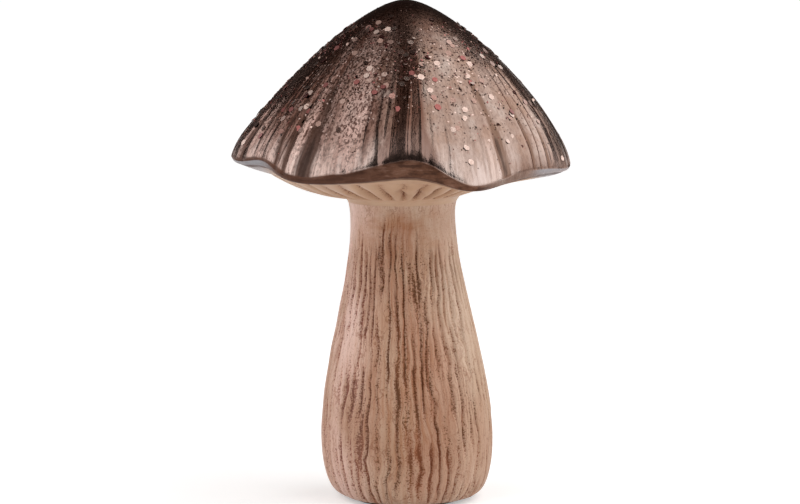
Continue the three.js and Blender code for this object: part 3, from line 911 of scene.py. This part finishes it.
def new_group(name, inputs, outputs):
    """An empty node group. Inputs and outputs give a socket kind for each name."""
    tree = bpy.data.node_groups.new(name, "ShaderNodeTree")
    for side, sockets in (("INPUT", inputs), ("OUTPUT", outputs)):
        for socket, kind in sockets.items():
            tree.interface.new_socket(socket, in_out=side, socket_type="NodeSocket" + kind)
    return tree, tree.nodes.new("NodeGroupInput").outputs, tree.nodes.new("NodeGroupOutput").inputs


def use_group(tree, group, output, **inputs):
    """One output of a node group, whose inputs' names are given with underscores for spaces."""
    spaced = {name.replace("_", " "): value for name, value in inputs.items()}
    return place(tree, "Group", spaced, node_tree=group).outputs[output]


def new_material(name):
    material = bpy.data.materials.new(name)
    material.use_nodes = True
    tree = material.node_tree
    return material, tree, tree.nodes["Principled BSDF"]


def feed(tree, shader, **inputs):
    """Feeds the shader's sockets, whose names are given with underscores for spaces."""
    for name, value in inputs.items():
        join(tree, value, shader.inputs[name.replace("_", " ")])


def bump(tree, height, strength, distance):
    inputs = {"Height": height, "Strength": strength, "Distance": distance}
    return place(tree, "Bump", inputs).outputs["Normal"]


# Shader groups, with the scale, detail and roughness of their noises
WASH_PATCHES = (75, 2)
PAINT_GRAIN = (1100, 2)
SHALLOW_HOLLOWS = (120, 2)


def settled_wash_group():
    """Dark wash that has settled in grooves and dried in specks: a mask from a groove's own mask."""
    inputs = {"Groove": "Float", "Amount": "Float", "Speck Scale": "Float"}
    tree, given, result = new_group("settled_wash", inputs, {"Mask": "Float"})
    vector = coordinates(tree)
    specks = ranged(tree, noise_of(tree, vector, given["Speck Scale"], 2, 0.6), 0.34, 0.66)
    patches = ranged(tree, noise_of(tree, vector, *WASH_PATCHES), 0.3, 0.7, 0.5, 1.3)
    likely = product(tree, given["Groove"], given["Amount"], patches)
    mask = ranged(tree, total(tree, likely, specks), 0.95, 1.25)
    tree.links.new(mask, result["Mask"])
    return tree


def paint_mottle_group():
    """Two tones of one paint in soft clouds with a finer grain."""
    inputs = {"Tone": "Color", "Other Tone": "Color", "Cloud Scale": "Float"}
    tree, given, result = new_group("paint_mottle", inputs, {"Color": "Color"})
    clouds = noise_of(tree, coordinates(tree, (1, 1, 0.45)), given["Cloud Scale"])
    grain = noise_of(tree, coordinates(tree), *PAINT_GRAIN)
    grained = product(tree, maths(tree, "SUBTRACT", grain, 0.5), 0.5)
    share = ranged(tree, total(tree, ranged(tree, clouds, 0.35, 0.65, 0, 0.85), grained), 0, 1)
    tree.links.new(mixed(tree, share, given["Tone"], given["Other Tone"]), result["Color"])
    return tree


def surface_grain_group():
    """Height of a fired and painted surface: brush-fine grain over shallow hollows."""
    tree, given, result = new_group("surface_grain", {"Grain Scale": "Float"}, {"Height": "Float"})
    vector = coordinates(tree)
    fine = noise_of(tree, vector, given["Grain Scale"])
    broad = noise_of(tree, vector, *SHALLOW_HOLLOWS)
    height = total(tree, product(tree, fine, 0.6), product(tree, broad, 0.4))
    tree.links.new(height, result["Height"])
    return tree


settled_wash = settled_wash_group()
paint_mottle = paint_mottle_group()
surface_grain = surface_grain_group()

# Cap lacquer: its tones, and the scale, detail and roughness of its noises
GOLD_TONES = (colour(0.225, 0.156, 0.127), colour(0.300, 0.218, 0.182))
ROSY_TONES = (colour(0.150, 0.070, 0.052), colour(0.440, 0.288, 0.248))
# Painted shade in the folds and their cores
FOLD_SHADE_TONES = (colour(0.115, 0.064, 0.043), colour(0.042, 0.021, 0.015))  # on the right and on the left
BRUSHED_TONE = colour(0.115, 0.062, 0.047)
HAIRLINE_TONE = colour(0.06, 0.032, 0.024)
GREY_TONE = colour(0.33, 0.27, 0.237)
WARM_TONE = colour(0.20, 0.118, 0.082)
WORN_TONE = colour(0.050, 0.018, 0.011)
# Painted highlight on the toe of the dome above the rim
TOE_HIGHLIGHT_TONE = colour(0.40, 0.322, 0.293)
# Painted shade on the crown, the left shoulder and the right rim
DUSK_SHADE_TONE = colour(0.08, 0.034, 0.022)
# Painted highlight on the bank beside each fold
BANK_HIGHLIGHT_TONE = colour(0.44, 0.31, 0.26)
FOLD_CORE_SHADE_TONE = colour(0.02, 0.012, 0.01)
# Painted shade of the front valley
VALLEY_SHADE_TONE = colour(0.08, 0.032, 0.02)
# Painted shade in the creases
CREASE_SHADE_TONE = colour(0.035, 0.013, 0.008)
# Painted glints of the fine glitter dust
GLINT_TONE = colour(0.62, 0.45, 0.40)
PIT_TONE = colour(0.02, 0.008, 0.005)
LIP_TONES = (colour(0.08, 0.032, 0.017), colour(0.145, 0.068, 0.042))
LIP_DARK_STREAK = colour(0.04, 0.016, 0.009)
LIP_PALE_STREAK = colour(0.23, 0.125, 0.09)
LIP_LEFT_TONE = colour(0.06, 0.024, 0.015)
# Painted shade along the lip's lower edge
LIP_EDGE_SHADE_TONE = colour(0.075, 0.032, 0.02)
UNDERSIDE_TONES = (colour(0.49, 0.305, 0.20), colour(0.53, 0.345, 0.235))
OVERSPRAY_TONES = (colour(0.20, 0.195, 0.21), colour(0.31, 0.305, 0.32))
LACQUER_SHEEN = colour(0.85, 0.72, 0.68)
BROAD_STROKES = (5.5, 2)
FINE_STROKES = (42, 3, 0.6)
HAIR_STROKES = (95, 2, 0.6)
HAMMERING = (85, 3)
LEATHER = (62, 4, 0.65)
LEATHER_STRETCH = (1, 1, 5)
LIP_MOTTLE = (160, 4)
LIP_STREAKS = (130, 5, 0.65)
LIP_STRETCH = (1, 1, 4)
DUST_SCALE = 1500.0
CAP_MASKS = ("rose", "fold", "bank", "furrow", "valley", "dusk", "dusting", "toe", "lip_face", "lip_edge",
             "underside", "overspray")


def cap_signals(tree):
    """The masks of the cap, and the noises that more than one of its layers use."""
    at = SimpleNamespace(**{name: mask_of(tree, name) for name in CAP_MASKS})
    at.vector = coordinates(tree)
    at.comb = comb_vector(tree)
    at.fine = noise_of(tree, at.comb, *FINE_STROKES)
    at.hair = noise_of(tree, at.comb, *HAIR_STROKES)
    at.leather = noise_of(tree, stretched(tree, at.comb, LEATHER_STRETCH), *LEATHER)
    at.mottle = noise_of(tree, at.vector, *LIP_MOTTLE)
    at.streaks = noise_of(tree, coordinates(tree, LIP_STRETCH), *LIP_STREAKS)
    cells = place(tree, "TexVoronoi", {"Vector": at.vector, "Scale": DUST_SCALE}).outputs["Color"]
    at.draws = place(tree, "SeparateColor", {"Color": cells}).outputs
    return at


def sided(tree, at, right, left):
    """A value for the gold right side of the cap and one for its rosy left side."""
    return ranged(tree, at.rose, 0, 1, right, left)


def dome_tone(tree, at):
    """Gold on the right and rose on the left, brushed, hammered and worn, with painted shade in the folds,
    creases, valley, crown and rims, painted highlights on the banks and the toe, and painted glints and pits of
    fine glitter."""
    broad = noise_of(tree, at.comb, *BROAD_STROKES)
    gold = mixed(tree, ranged(tree, broad, 0.35, 0.65), *GOLD_TONES)
    rosy = mixed(tree, ranged(tree, broad, 0.4, 0.6), *ROSY_TONES)
    hammered = noise_of(tree, at.vector, *HAMMERING)
    dusk_shade_share = product(tree, at.dusk, 0.85)
    ragged_fold_shade = total(tree, at.fold, product(tree, maths(tree, "SUBTRACT", at.fine, 0.5), 0.7))
    crease_shade = ranged(tree, total(tree, at.furrow, product(tree, at.fine, 0.3)), 0.3, 0.8)
    sparkling = product(tree, at.dusting, sided(tree, at, 0.03, 0.07), ranged(tree, dusk_shade_share, 0.1, 0.7, 1, 0.15))
    glint = maths(tree, "LESS_THAN", at.draws[0], sparkling)
    pit = maths(tree, "LESS_THAN", at.draws[1], product(tree, at.dusting, sided(tree, at, 0.12, 0.28)))
    return layered(tree, mixed(tree, at.rose, gold, rosy), (
        (product(tree, ranged(tree, at.fine, 0.45, 0.72), sided(tree, at, 0.22, 0.4)), BRUSHED_TONE),
        (product(tree, ranged(tree, at.hair, 0.6, 0.68), sided(tree, at, 0.2, 0.45)), HAIRLINE_TONE),
        (product(tree, ranged(tree, hammered, 0.5, 0.68, 0, 0.6), sided(tree, at, 1, 0.3)), GREY_TONE),
        (product(tree, ranged(tree, hammered, 0.32, 0.5, 0.6, 0), sided(tree, at, 1, 0.5)), WARM_TONE),
        (product(tree, ranged(tree, at.leather, 0.49, 0.56), sided(tree, at, 0.22, 0.92)), WORN_TONE),
        # painted highlight on the toe
        (product(tree, at.toe, ranged(tree, at.fine, 0.35, 0.6, 0.9, 0.35)), TOE_HIGHLIGHT_TONE),
        # painted shade on the crown, the left shoulder and the right rim
        (dusk_shade_share, DUSK_SHADE_TONE),
        # painted highlight on the bank beside each fold
        (product(tree, at.bank, ranged(tree, at.fine, 0.35, 0.65, 0.38, 0.08)), BANK_HIGHLIGHT_TONE),
        # painted shade in the folds, darkest in their cores
        (product(tree, ranged(tree, ragged_fold_shade, 0.14, 0.6), sided(tree, at, 0.8, 0.92)),
         mixed(tree, at.rose, *FOLD_SHADE_TONES)),
        (product(tree, ranged(tree, ragged_fold_shade, 0.75, 0.95), 0.6), FOLD_CORE_SHADE_TONE),
        # painted shade in the front valley
        (product(tree, at.valley, ranged(tree, at.fine, 0.3, 0.7, 0.95, 0.75)), VALLEY_SHADE_TONE),
        # painted shade in the creases
        (product(tree, crease_shade, sided(tree, at, 0.6, 0.85)), CREASE_SHADE_TONE),
        # painted glints
        (product(tree, glint, 0.55), GLINT_TONE),
        (product(tree, pit, 0.85), PIT_TONE),
    ))


def lip_tone(tree, at):
    """Brown with dark and pale streaks, darker on the left."""
    return layered(tree, mixed(tree, ranged(tree, at.mottle, 0.3, 0.7), *LIP_TONES), (
        (ranged(tree, at.streaks, 0.5, 0.6, 0, 0.8), LIP_DARK_STREAK),
        (ranged(tree, at.streaks, 0.36, 0.46, 0.5, 0), LIP_PALE_STREAK),
        (product(tree, at.rose, 0.7), LIP_LEFT_TONE),
    ))


def cap_lacquer():
    """Brushed metallic lacquer, with painted shade in the folds, brown on the lip and dull below, with dust of
    glitter.
    """
    material, tree, shader = new_material("cap_lacquer")
    at = cap_signals(tree)
    lip_edge = product(tree, at.lip_edge, ranged(tree, at.mottle, 0.3, 0.7, 0.85, 0.5))
    bare = product(tree, at.underside, ranged(tree, at.overspray, 0, 1, 1, 0.4))
    under_paint = use_group(tree, paint_mottle, "Color", Tone=UNDERSIDE_TONES[0],
                            Other_Tone=UNDERSIDE_TONES[1], Cloud_Scale=60.0)
    tone = layered(tree, dome_tone(tree, at), (
        (at.lip_face, lip_tone(tree, at)),
        (at.underside, under_paint),
        (at.overspray, mixed(tree, at.mottle, *OVERSPRAY_TONES)),
        # painted shade along the lip's lower edge
        (lip_edge, LIP_EDGE_SHADE_TONE),
    ))
    lacquered = maths(tree, "SUBTRACT", 1.0, maths(tree, "MAXIMUM", bare, lip_edge))
    metal = product(tree, ranged(tree, at.lip_face, 0, 1, 1.0, 0.6), lacquered)
    rough = total(tree, ranged(tree, at.fine, 0.3, 0.7, 0.16, 0.26), product(tree, at.lip_face, 0.2),
                  product(tree, bare, 0.3), product(tree, lip_edge, 0.35))
    height = total(tree, use_group(tree, surface_grain, "Height", Grain_Scale=900.0),
                   product(tree, at.draws[2], at.dusting, sided(tree, at, 0.25, 0.5)),
                   product(tree, at.hair, 0.8), product(tree, at.leather, 1.6),
                   product(tree, at.streaks, at.lip_face, 6))
    feed(tree, shader, Base_Color=tone, Metallic=metal, Roughness=rough,
         Normal=bump(tree, height, 0.4, 0.12 * MM), Coat_Weight=0.02, Coat_Roughness=0.15,
         Specular_Tint=LACQUER_SHEEN, Specular_IOR_Level=0.25)
    return material


# Glitter film: its tones and the scale and detail of its crackle
FILM_TONES = (colour(0.03, 0.013, 0.009), colour(0.27, 0.10, 0.09))
FILM_ROSE = colour(0.31, 0.205, 0.17)
FILM_PALE = colour(0.50, 0.39, 0.34)
FILM_CRACKLE_TONE = colour(0.72, 0.62, 0.6)
FILM_CRACKLE = (2600, 2)


def glitter_film():
    """Metallised film in tones from dark brown over red to pale pink, a little crazed."""
    material, tree, shader = new_material("glitter_film")
    tone = mask_of(tree, "tone")
    film = layered(tree, mixed(tree, ranged(tree, tone, 0.18, 0.24), *FILM_TONES), (
        (ranged(tree, tone, 0.36, 0.46), FILM_ROSE),
        (ranged(tree, tone, 0.68, 0.8), FILM_PALE),
    ))
    crackle = noise_of(tree, coordinates(tree), *FILM_CRACKLE)
    film = mixed(tree, ranged(tree, crackle, 0.3, 0.7), film, FILM_CRACKLE_TONE, "MULTIPLY")
    feed(tree, shader, Base_Color=film, Metallic=1.0, Roughness=ranged(tree, crackle, 0.3, 0.7, 0.14, 0.28))
    return material


# Stem paint: its tones, and the scale, detail and roughness of its noises
GROUND_TONES = (colour(0.64, 0.485, 0.375), colour(0.81, 0.59, 0.52))  # all round and on the left
CLOUD_TONE = colour(0.58, 0.385, 0.285)
# Painted shade, darker and warmer, on the stem's front and back
FRONT_SHADE_TINT = colour(0.67, 0.45, 0.32)
# Painted highlight on the stem's ridges
RIDGE_HIGHLIGHT_TONE = colour(0.80, 0.625, 0.495)
# Painted shade on the lower stem and its flanks
LOW_SHADE_TINT = colour(0.75, 0.665, 0.59)
SMUDGE_TINT = colour(0.84, 0.68, 0.55)
STAIN_TINT = colour(0.81, 0.61, 0.485)
LINE_TINT = colour(0.62, 0.42, 0.33)
CRACK_TINT = colour(0.50, 0.31, 0.22)
GRIT_TINT = colour(0.55, 0.36, 0.27)
WASH_TONES = (colour(0.12, 0.045, 0.017), colour(0.21, 0.066, 0.028))
WASH_LEFT_TONE = colour(0.27, 0.10, 0.09)
PAINT_STROKES = (22, 3, 0.6)
PAINT_HAIRS = (110, 2, 0.6)
WASH_DRIFT = (28, 3)
SMEARS = (75, 5, 0.65)
SMEAR_STRETCH = (1, 1, 2)
LINE_PATCHES = (65, 3)
GRIT = (1600, 2)
CRACK_SHAKE = {"Scale": 320.0, "Detail": 2.0}
CRACK_SHAKE_SHARE = 0.07
CRACK_STRETCH = (1, 1, 2.4)
CRACK_SCALE = 11.0


def fine_cracks(tree, comb):
    """A mask of thin cracks drawn out up the stem, with shaken edges."""
    shaken = place(tree, "TexNoise", {"Vector": coordinates(tree), **CRACK_SHAKE}).outputs["Color"]
    shaken = place(tree, "VectorMath", {0: shaken, "Scale": CRACK_SHAKE_SHARE}, operation="SCALE").outputs[0]
    drawn = stretched(tree, comb, CRACK_STRETCH)
    drawn = place(tree, "VectorMath", {0: drawn, 1: shaken}, operation="ADD").outputs[0]
    cracks = place(tree, "TexVoronoi", {"Vector": drawn, "Scale": CRACK_SCALE}, feature="DISTANCE_TO_EDGE")
    return ranged(tree, cracks.outputs["Distance"], 0.0, 0.06, 0.6, 0)


def stem_paint():
    """Satin paint, rosy on one side, with painted shade on the front and back, darker and warmer, and wash in
    the carving.
    """
    material, tree, shader = new_material("stem_paint")
    vector, comb = coordinates(tree), comb_vector(tree)
    wash, foot, rose, smudge = (mask_of(tree, name) for name in ("wash", "foot", "rose", "smudge"))
    strokes = noise_of(tree, comb, *PAINT_STROKES)
    hair = noise_of(tree, comb, *PAINT_HAIRS)
    smears = noise_of(tree, coordinates(tree, SMEAR_STRETCH), *SMEARS)
    patches = ranged(tree, noise_of(tree, vector, *LINE_PATCHES), 0.38, 0.62)
    grit = ranged(tree, noise_of(tree, vector, *GRIT), 0.58, 0.70, 0, 0.45)
    washed_foot = product(tree, foot, 0.02)
    stained = total(tree, product(tree, wash, 0.5), washed_foot, product(tree, strokes, 0.9))
    hairs = product(tree, ranged(tree, hair, 0.54, 0.68, 0, 0.55), patches,
                    ranged(tree, smudge, 0, 0.8, 1, 0.1))
    lines = total(tree, product(tree, mask_of(tree, "scratch"), 0.4), hairs)
    cracked = product(tree, fine_cracks(tree, comb), ranged(tree, patches, 0, 1, 1, 0.15))
    # painted shade on the front and back
    front_shaded = product(tree, mask_of(tree, "front_shade"), ranged(tree, strokes, 0.3, 0.7, 0.5, 1.0))

    paint = use_group(tree, paint_mottle, "Color", Tone=mixed(tree, rose, *GROUND_TONES),
                      Other_Tone=CLOUD_TONE, Cloud_Scale=42.0)
    paint = mixed(tree, front_shaded, paint, FRONT_SHADE_TINT, "MULTIPLY")
    # painted highlight on the ridges
    paint = mixed(tree, product(tree, mask_of(tree, "ridge"), 0.6), paint, RIDGE_HIGHLIGHT_TONE)
    paint = layered(tree, paint, (
        # painted shade on the lower stem and its flanks
        (mask_of(tree, "low"), LOW_SHADE_TINT),
        (product(tree, smudge, ranged(tree, smears, 0.35, 0.65)), SMUDGE_TINT),
        (ranged(tree, stained, 0.45, 1.15, 0, 0.85), STAIN_TINT),
        (lines, LINE_TINT),
        (cracked, CRACK_TINT),
        (grit, GRIT_TINT),
    ), "MULTIPLY")
    brown = mixed(tree, ranged(tree, noise_of(tree, vector, *WASH_DRIFT), 0.42, 0.58), *WASH_TONES)
    dark = mixed(tree, product(tree, rose, 0.6), brown, WASH_LEFT_TONE)
    settled = use_group(tree, settled_wash, "Mask", Groove=total(tree, wash, washed_foot), Amount=1.1,
                        Speck_Scale=1300.0)
    paint = mixed(tree, product(tree, settled, 0.83), paint, dark)

    grain = use_group(tree, surface_grain, "Height", Grain_Scale=800.0)
    height = total(tree, grain, product(tree, hair, 0.8))
    feed(tree, shader, Base_Color=paint, Roughness=ranged(tree, settled, 0, 1, 0.5, 0.75),
         Normal=bump(tree, height, 0.6, 0.2 * MM), Specular_IOR_Level=0.22)
    return material


# Gill paint
GILL_TONES = (colour(0.555, 0.365, 0.245), colour(0.505, 0.31, 0.198))
GILL_PAINTED_SHADE_TINT = colour(0.59, 0.39, 0.27)
GILL_WASH_TONE = colour(0.14, 0.05, 0.025)


def gill_paint():
    """The stem's kind of paint on the gills, with painted shade and wash between the flutes."""
    material, tree, shader = new_material("gill_paint")
    paint = use_group(tree, paint_mottle, "Color", Tone=GILL_TONES[0], Other_Tone=GILL_TONES[1],
                      Cloud_Scale=50.0)
    # painted shade between the flutes
    paint = mixed(tree, mask_of(tree, "painted_shade"), paint, GILL_PAINTED_SHADE_TINT, "MULTIPLY")
    settled = use_group(tree, settled_wash, "Mask", Groove=mask_of(tree, "wash"), Amount=1.2,
                        Speck_Scale=1200.0)
    paint = mixed(tree, product(tree, settled, 0.88), paint, GILL_WASH_TONE)
    grain = use_group(tree, surface_grain, "Height", Grain_Scale=800.0)
    feed(tree, shader, Base_Color=paint, Roughness=ranged(tree, settled, 0, 1, 0.5, 0.75),
         Normal=bump(tree, grain, 0.3, 0.2 * MM), Specular_IOR_Level=0.35)
    return material


# Felt cloth and adhesive
FELT_TONES = (colour(0.012, 0.010, 0.009), colour(0.045, 0.036, 0.032))
FELT_FIBRES = (1800, 5, 0.7)
FELT_STRETCH = (1, 3, 1)
ADHESIVE_TONES = (colour(0.80, 0.74, 0.60), colour(0.66, 0.57, 0.40))
BUBBLE_SCALE = 420.0


def felt_cloth():
    material, tree, shader = new_material("felt_cloth")
    fibres = noise_of(tree, coordinates(tree, FELT_STRETCH), *FELT_FIBRES)
    feed(tree, shader, Base_Color=mixed(tree, ranged(tree, fibres, 0.3, 0.7), *FELT_TONES), Roughness=0.95,
         Normal=bump(tree, fibres, 0.6, 0.3 * MM), Sheen_Weight=0.4)
    return material


def clear_adhesive():
    material, tree, shader = new_material("clear_adhesive")
    inputs = {"Vector": coordinates(tree), "Scale": BUBBLE_SCALE}
    bubbles = place(tree, "TexVoronoi", inputs).outputs["Distance"]
    feed(tree, shader, Base_Color=mixed(tree, ranged(tree, bubbles, 0.1, 0.6), *ADHESIVE_TONES),
         Roughness=ranged(tree, bubbles, 0, 0.7, 0.25, 0.45), Normal=bump(tree, bubbles, 0.3, 0.2 * MM))
    return material


# Assembly
def dress(piece, material, slot, *nodes):
    """Puts a finish on a piece and rides it on the one body, in place of CAD nodes."""
    piece.data.materials.append(material)
    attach(piece, "root")
    if nodes:
        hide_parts(*nodes)
    return piece


def dress_ornament():
    rng = np.random.default_rng(GLITTER_SEED)
    film = glitter_film()
    dress(cap_piece(), cap_lacquer(), "cap_lacquer", "cap_shell")
    dress(gill_piece(), gill_paint(), "gill_paint", "gill_disc")
    dress(stem_piece(), stem_paint(), "stem_paint", "stem_shell")
    felt = dress(felt_piece(), felt_cloth(), "felt", "base_felt")
    dress(node_flakes(rng), film, "glitter", *flake_nodes())
    for name, kind in STREWN_FLAKES.items():
        dress(scattered(name, *kind, rng), film, "glitter")
    adhesive = clear_adhesive()
    for name in ("stem_adhesive_sleeve", "cap_adhesive_ring"):
        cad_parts[name].data.materials.clear()
        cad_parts[name].data.materials.append(adhesive)


# Studio
PANEL_AIM = Vector((0, 0, 0.15))
PANEL_DISTANCE = 1.0
PANEL_LEAN = math.radians(45)
# Soft panels: the side, the lowest and highest elevation in degrees, the nearest and furthest depth along
# Y, and the radiance
PANELS = {
    "softbox_right": (1, (4, 46), (-1.25, 1.0), 2.05),
    "softbox_right_high": (1, (46, 79), (-1.25, 0.56), 2.05),
    "softbox_left": (-1, (4, 76), (-1.3, -0.4), 2.0),
    "reflector_left_low": (-1, (4, 36), (-0.4, 0.95), 1.7),
    "reflector_left_high": (-1, (36, 79), (-0.4, 0.12), 1.25),
    "reflector_left_back": (-1, (36, 79), (0.12, 0.5), 0.72),
}
FLOOR_RADII = (0.4, 1, 2, 4, 8, 12)
FLOOR_COLUMNS = 96
FLOOR_LEVEL = 0.0
FLOOR_TONES = (colour(0.80, 0.80, 0.80), colour(0.83, 0.83, 0.83))
FLOOR_GLOW = (0.36, 0.98)  # own brightness of the floor near the ornament and far from it
FLOOR_GLOW_REACH = (0.1, 2.2)  # distances at which these hold
PAPER_FIBRES = (40, 2)
BLACK = colour(0, 0, 0)
WHITE = colour(1, 1, 1)
ROOM_TONE = colour(0.06, 0.053, 0.05)
HORIZON = (0.03, 0.08)  # heights of a direction between which the pale strip turns into the room
CAMERA_TARGET = Vector((-3.2, 0, 104.5)) * MM
CAMERA_DISTANCE = 1.2
CAMERA_ELEVATION = math.radians(7)
VIEW_WIDTH = 337 * MM  # width of the photograph at the target
SENSOR_WIDTH = 36  # in millimetres, as the camera takes it


def studio_floor():
    """A wide pale floor. Far from the ornament, where the lamps don't reach, it is pale by itself."""
    rings = on_meridian(turns_of(FLOOR_COLUMNS), np.array(FLOOR_RADII)[:, None], FLOOR_LEVEL)
    numbers = numbered(rings)
    faces = [numbers[0].tolist()] + band_faces(numbers)
    floor = mesh_piece("studio_floor", rings.reshape(-1, 3), faces, {})
    material, tree, shader = new_material("floor_paper")
    position = place(tree, "NewGeometry").outputs["Position"]
    distance = place(tree, "VectorMath", {0: position}, operation="LENGTH").outputs["Value"]
    rays = place(tree, "LightPath").outputs
    seen = maths(tree, "MAXIMUM", rays["Is Camera Ray"], rays["Is Glossy Ray"], rays["Is Transmission Ray"])
    glow = product(tree, ranged(tree, distance, *FLOOR_GLOW_REACH, *FLOOR_GLOW), seen)
    paper = noise_of(tree, coordinates(tree), *PAPER_FIBRES)
    feed(tree, shader, Base_Color=mixed(tree, paper, *FLOOR_TONES), Roughness=0.9,
         Emission_Color=mixed(tree, glow, BLACK, WHITE), Emission_Strength=1.0, Specular_IOR_Level=0.1)
    floor.data.materials.append(material)


def soft_panel(name, side, heights, depths, radiance):
    """A soft panel that leans over the ornament from its right (side 1) or left (side -1). It is seen from
    there between two elevations, in degrees, and between two depths along Y, as bright as a surface of that
    radiance."""
    low, high = (PANEL_DISTANCE * math.tan(math.radians(height) - PANEL_LEAN) for height in heights)
    near, far = depths
    lamp = bpy.data.lights.new(name, "AREA")
    lamp.shape = "RECTANGLE"
    lamp.size = far - near
    lamp.size_y = high - low
    lamp.energy = radiance * math.pi * lamp.size * lamp.size_y
    outward = Vector((side * math.cos(PANEL_LEAN), 0, math.sin(PANEL_LEAN)))
    upward = Vector((-side * math.sin(PANEL_LEAN), 0, math.cos(PANEL_LEAN)))
    holder = bpy.data.objects.new(name, lamp)
    holder.location = PANEL_AIM + PANEL_DISTANCE * outward + (low + high) / 2 * upward
    holder.location.y += (near + far) / 2
    holder.rotation_euler = outward.to_track_quat("Z", "Y").to_euler()
    holder.visible_camera = False
    bpy.context.scene.collection.objects.link(holder)


def studio_world():
    """A dim room, with a pale strip at the horizon where the floor ends."""
    world = bpy.data.worlds.new("studio_room")
    bpy.context.scene.world = world
    world.use_nodes = True
    tree = world.node_tree
    direction = place(tree, "TexCoord").outputs["Generated"]
    height = place(tree, "SeparateXYZ", {0: direction}).outputs["Z"]
    tone = mixed(tree, ranged(tree, height, *HORIZON), WHITE, ROOM_TONE)
    tree.links.new(tone, tree.nodes["Background"].inputs["Color"])


def studio_camera():
    lens = bpy.data.cameras.new("camera")
    lens.sensor_width = SENSOR_WIDTH
    lens.lens = SENSOR_WIDTH * CAMERA_DISTANCE / VIEW_WIDTH
    camera = bpy.data.objects.new("camera", lens)
    back = Vector((0, -math.cos(CAMERA_ELEVATION), math.sin(CAMERA_ELEVATION)))
    camera.location = CAMERA_TARGET + CAMERA_DISTANCE * back
    camera.rotation_euler = back.to_track_quat("Z", "Y").to_euler()
    bpy.context.scene.collection.objects.link(camera)
    bpy.context.scene.camera = camera


def build_studio():
    studio_floor()
    for name, panel in PANELS.items():
        soft_panel(name, *panel)
    studio_world()
    studio_camera()
    bpy.context.scene.view_settings.view_transform = "Standard"


dress_ornament()
build_studio()
